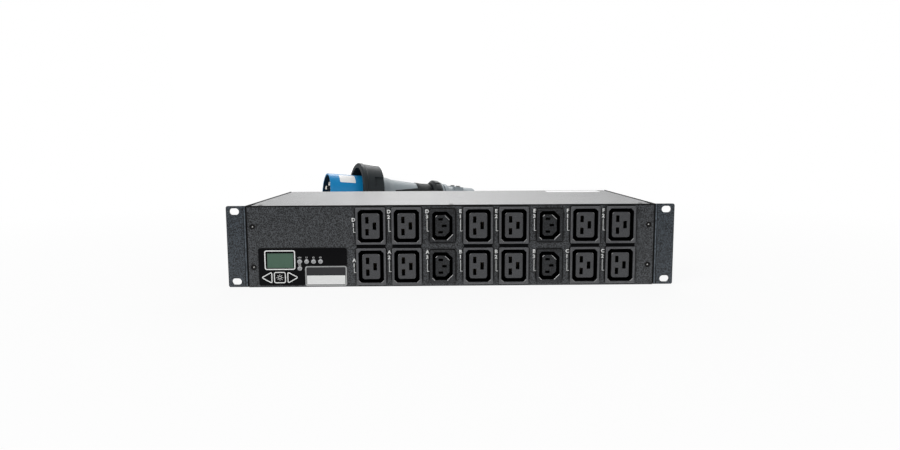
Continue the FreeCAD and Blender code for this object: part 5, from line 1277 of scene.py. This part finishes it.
margins, gap_shadows = bmesh.new(), bmesh.new()
for level, names in OUTLET_ROWS:
    for column, mark in enumerate(names):
        small = mark.endswith(SMALL_DIGIT)
        finishes = outlet_finishes["small" if small else "large"]
        x = COLUMN_START + COLUMN_PITCH * column
        bm = build_outlet(SMALL_SHAPE if small else LARGE_SHAPE, (x, level))
        node = f"outlet_{mark.lower()}"
        piece = keep(f"{node}_moulded", bm, finishes[FACE], thick=0.0)
        for finish in finishes[1:]:
            piece.data.materials.append(finish)
        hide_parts(node)
        if small:
            frame_corners = rectangle(x - MARGIN_HALF_WIDE, x + MARGIN_HALF_WIDE, level - MARGIN_HALF_HIGH,
                                      level + MARGIN_HALF_HIGH)
            add_ring(margins, frame_corners, FRONT_FACE, MARGIN_ROUND, MARGIN_LINE)
        elif level == ROW_LEVELS[0]:
            flat_face(gap_shadows, rectangle(x - SHADOW_STRIP_HALF, x + SHADOW_STRIP_HALF, SHADOW_STRIP_LOW, SHADOW_STRIP_TOP), FRONT_FACE)
keep("outlet_margins", margins, panel_coat, thick=STRIP_THICK)
keep("outlet_gap_shadows", gap_shadows, outlet_finishes["large"][SHADED_DEPTHS], thick=STRIP_THICK)
print(len(TOP_MARKS) + len(LOW_MARKS), "outlets, the last of", len(piece.data.polygons), "faces")

# %% [markdown]
# ## Screws
# A screw is a profile spun about its axis. The panel's black screws lie flush and have a dimple for the driver,
# with a bare steel pin in its middle that catches the light. The cover's screws are flat black discs with a
# slight crown.

# %% Screws
# Profiles of (radius, depth).
PANEL_SCREW = [(0.0, 1.0), (0.3, 0.95), (1.45, 0.1), (1.65, 0.0), (2.5, 0.0), (2.85, 0.3), (2.85, 1.2),
               (1.5, 1.2), (1.5, 4.8), (0.0, 4.8)]
SOCKET_BIT = [(0.0, 0.35), (0.55, 0.3), (0.8, 0.6), (0.8, 0.9), (0.0, 0.9)]
COVER_SCREW = [(0.0, -0.1), (0.9, -0.1), (1.1, -0.35), (2.2, -0.3), (2.55, 0.0), (1.5, 0.0), (1.5, 3.6),
               (0.0, 3.6)]
SCREW_PARTS = 24
PANEL_SCREW_X, COVER_SCREW_X, COVER_SCREW_Y = 213.7, 206.4, -103.75


def spun_screws(profile, places, turn):
    """Screws from a profile, each moved to its place; turn takes +Z into the material."""
    bm = bmesh.new()
    for place in places:
        fresh = spin_strip(profile, 0.0, 360.0, SCREW_PARTS)
        bmesh.ops.remove_doubles(fresh, verts=fresh.verts[:], dist=MERGE_WITHIN)
        bmesh.ops.recalc_face_normals(fresh, faces=fresh.faces[:])
        fresh.transform(Matrix.Translation([value * MM for value in place]) @ turn)
        pour(fresh, bm)
    return bm


screw_black = moulded("screw_black", (0.004, 0.004, 0.004), 0.4, grain_mm=0.3, depth_mm=0.005, edge_mm=0.15,
                      dust=0.0, sheen=0.25)
panel_places = [(side * PANEL_SCREW_X, FRONT_FACE, level) for side in (-1, 1) for level in ROW_LEVELS]
inward = Matrix.Rotation(-math.pi / 2, 4, "X")
panel_screws = keep("panel_screws", spun_screws(PANEL_SCREW, panel_places, inward), screw_black,
                    thick=0.0)
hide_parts("front_panel_screws")
bare_steel = brushed("bare_steel", (0.85, 0.84, 0.82), 0.5, squeeze=(1.0, 1.0, 1.0), scale=2500.0)
keep("screw_sockets", spun_screws(SOCKET_BIT, panel_places, inward), bare_steel, thick=0.0)
cover_places = [(side * COVER_SCREW_X, COVER_SCREW_Y, COVER_TOP) for side in (-1, 0, 1)]
downward = Matrix.Rotation(math.pi, 4, "X")
cover_heads = keep("cover_screw_heads", spun_screws(COVER_SCREW, cover_places, downward), screw_black,
                   thick=0.0)
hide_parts("cover_screws")
print(len(panel_places), "panel screws and", len(cover_places), "cover screws")

# %% [markdown]
# ## Folds and rims
# A rounded fold runs down each ear beside the panel, in a paler coat that is a painted highlight. A thin dark
# rim stands up along each side of the cover, where the cover's bend is in shade; its dark coat is painted
# shade. Both are bars: a profile is one face, and it is extruded along a straight line. The fold's profile is a
# low arch.

# %% Folds and rims
# The fold's two sides, its rise and its foot and length; the rim's profile of (x, z), its front and its length.
FOLD_SIDES, FOLD_RISE, FOLD_FOOT, FOLD_LONG, FOLD_STEPS = (220.9, 222.4), 0.35, 1.2, 87.2, 8
RIM_BAR = [(218.6, 86.0), (219.5, 86.0), (219.5, 89.2), (219.25, 89.4), (218.85, 89.4), (218.6, 89.2)]
RIM_FRONT, RIM_LONG = -92.0, 197.5


def add_bar(bm, profile, way):
    """A closed bar: a profile of points, drawn along a vector in millimetres."""
    first = bm.faces.new([bm.verts.new([value * MM for value in point]) for point in profile])
    draw_out(bm, [first], way)


folds, shade_rims = bmesh.new(), bmesh.new()
for side in (-1, 1):
    arch = []
    for share in (step / FOLD_STEPS for step in range(FOLD_STEPS + 1)):
        across = FOLD_SIDES[0] + (FOLD_SIDES[1] - FOLD_SIDES[0]) * share
        rise = FOLD_RISE * (1 - (2 * share - 1) ** 2)
        arch.append((side * across, FRONT_FACE - rise, FOLD_FOOT))
    add_bar(folds, arch, Z_AXIS * FOLD_LONG)
    add_bar(shade_rims, [(side * x, RIM_FRONT, z) for x, z in RIM_BAR], Vector((0.0, RIM_LONG, 0.0)))
for bm in (folds, shade_rims):
    bmesh.ops.recalc_face_normals(bm, faces=bm.faces[:])
# The fold's pale coat is a painted highlight.
fold_highlight_coat = moulded("fold_highlight_coat", shade(EAR_GREY, 2.2), 0.38, grain_mm=1.1, depth_mm=0.05, speckle=0.5,
                    contrast=4.0, edge_mm=0.2)
keep("ear_folds", folds, fold_highlight_coat, thick=0.0)
# The cover rims' dark coat is painted shade for the shaded side of the cover's bend.
rim_shade_coat = moulded("rim_shade_coat", (0.024, 0.025, 0.027), 0.7, grain_mm=0.6, depth_mm=0.03, speckle=0.3,
                   edge_mm=0.2, lift=1.5, dust=0.0, sheen=0.1)
keep("cover_shade_rims", shade_rims, rim_shade_coat, thick=0.0)
print("folds and rims on both sides")

# %% [markdown]
# ## Light names
# Above each light stands a short name in small print, made by the same helper as the marks on the panel. At
# this size the ink's own weight would close the letters, so the strokes get less of it.

# %% Light names
LIGHT_NAMES = (("ON", -164.0, 32.8), ("L1", -156.5, 32.8), ("L2", -149.0, 32.8), ("L3", -141.5, 32.8),
               ("OK", -164.0, 24.6))
NAME_HIGH, NAME_WEIGHT, NAME_THICK = 1.6, 0.01, 0.04
small_print = bmesh.new()
for text, x, z in LIGHT_NAMES:
    add_letter(small_print, text, x, z, NAME_HIGH, FILM_FACE, weight=NAME_WEIGHT)
keep("light_names", small_print, white_ink, thick=NAME_THICK)
print(len(LIGHT_NAMES), "light names")
